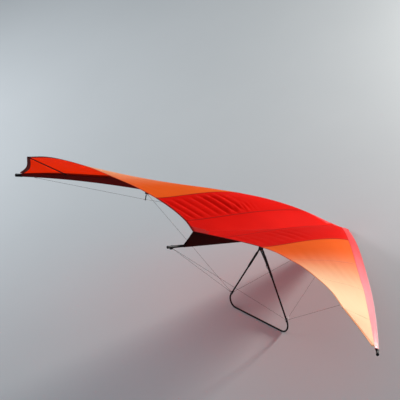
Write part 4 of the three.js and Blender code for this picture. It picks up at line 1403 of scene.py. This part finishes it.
bm = bmesh.new()
for drop in (KEEPER_DROP, STRAP_LENGTH - KEEPER_DROP):
    lay = Matrix.Translation(below_pin(0, 0, -drop)) @ Matrix.Diagonal((*KEEPER_SIZE, 1))
    bmesh.ops.create_cube(bm, size=1.0, matrix=lay)
soften(bm, KEEPER_BEVEL, 3)
uv = bm.loops.layers.uv.new("cloth")
for face in bm.faces:
    for loop in face.loops:
        loop[uv].uv = (loop.vert.co.z, loop.vert.co.y + STRAP_HALF)
fit_on(keep(bm, "strap_keepers", webbing), "strap", "webbing")


# Carabiner: a forged steel ring, which hangs in the strap's lower eye. Its gate is hinged at the
# foot, and a knurled sleeve screws up over the gate's nose.
RING_HALF = 0.038
SLEEVE_RADIUS = 0.0070
SLEEVE_FROM = 0.028
SLEEVE_TO = 0.066
KNURL_SIDES = 36
KNURL_MARGIN = 0.0002
KNURL_HEIGHT = 0.0004
COLLAR_HEIGHT = 0.003
COLLAR_RADIUS = SLEEVE_RADIUS - 0.0008
HINGE_DROP = 0.006
HINGE_HALF = 0.0062
HINGE_RADIUS = 0.0032
bm = bmesh.new()
gate_top = below_pin(0, RING_HALF, -STRAP_LENGTH - SLEEVE_FROM)
gate_low = below_pin(0, RING_HALF, -STRAP_LENGTH - SLEEVE_TO)
sleeve = rod(bm, gate_top, gate_low, SLEEVE_RADIUS, sides=KNURL_SIDES)
flats = [face for face in faces_among(bm, sleeve) if len(face.verts) == 4]
bmesh.ops.inset_individual(bm, faces=flats, thickness=KNURL_MARGIN, depth=KNURL_HEIGHT)
rod(bm, gate_top + Vector((0, 0, COLLAR_HEIGHT)), gate_top, COLLAR_RADIUS)
hinge = gate_low - Vector((0, 0, HINGE_DROP))
rod(bm, hinge - Vector((HINGE_HALF, 0, 0)), hinge + Vector((HINGE_HALF, 0, 0)), HINGE_RADIUS)
fit_on(keep(bm, "carabiner_gate", steel_bolt, smooth=False), "carabiner", "plate")


# Tip ties: a loop of webbing from the end of each pocket runs over the end of the leading edge
# tube and holds the sail out along it.
TIE_HALF = 0.010
TIE_THICKNESS = 0.0018
TIE_OFF_TUBE = 0.0262
TIE_REACH = 0.115
TIE_MIDDLE = 0.05
TIE_OVER_CAP = 0.0165
TIE_MESH = (80, 6)
TIE_MAP_LENGTH = 0.3
tip = Vector(EDGE_TIP)
tip_axis = edge_axis(EDGE_TIP[1])
tip_across = Vector((-tip_axis.y, tip_axis.x, 0)).normalized()
tip_up = tip_axis.cross(tip_across)
if tip_up.z < 0:
    tip_up.negate()
HALF_TIE = [
    # along the tube, off its axis
    (-TIE_REACH, TIE_OFF_TUBE),
    (-TIE_MIDDLE, TIE_OFF_TUBE),
    (0, TIE_OFF_TUBE),
    (0.010, TIE_OFF_TUBE - 0.002),
    (TIE_OVER_CAP, TIE_OFF_TUBE - 0.010),
]
tie_path = spline([Vector((along, 0, off)) for along, off in HALF_TIE]
                  + [Vector((along, 0, -off)) for along, off in reversed(HALF_TIE)])


def tie_spot(u, v):
    spot = tie_path(u)
    return tip + tip_axis * spot.x + tip_up * spot.z + tip_across * TIE_HALF * (2 * v - 1)


bm = bmesh.new()
grid_on(bm, *TIE_MESH, tie_spot, lambda u, v: (u * TIE_MAP_LENGTH, v * 2 * TIE_HALF))
cloth_pair("tip_tie", bm, (webbing,), "webbing", thickness=TIE_THICKNESS)


# Keel patches: doubled red sailcloth, above and below the sail, sewn on with two rows of zigzag at
# the middle of the trailing edge, where the cloth pulls on the keel.
PATCH_LIFT = 0.0021
PATCH_FROM = 0.002
PATCH_TO = 0.20
PATCH_REACH = 0.26
PATCH_TAPER = 0.75
PATCH_MESH = (12, 16)
PATCH_MAP = (0.25, 0.1)
PATCH_ROWS = (0.006, 0.094)
red_patch = sewn_cloth("red patch", (0.52, 0.006, 0.003), (0.42, 0.004, 0.002),
                       (0.16, 0.01, 0.01), PATCH_ROWS)


def patch_place(lift):
    def spot(u, v):
        side = PATCH_FROM + (PATCH_TO - PATCH_FROM) * u * (1 - PATCH_TAPER * v)
        return sail_place(side, 1 - (HEM_WIDTH + PATCH_REACH * v) / chord_length(side), lift)

    return spot


bm = bmesh.new()
for lift in (PATCH_LIFT, -PATCH_LIFT):
    grid_on(bm, *PATCH_MESH, patch_place(lift), lambda u, v: (PATCH_MAP[0] * u, PATCH_MAP[1] * v))
cloth_pair("keel_patches", bm, (red_patch,), "red_sail", thickness=TAPE_THICKNESS)
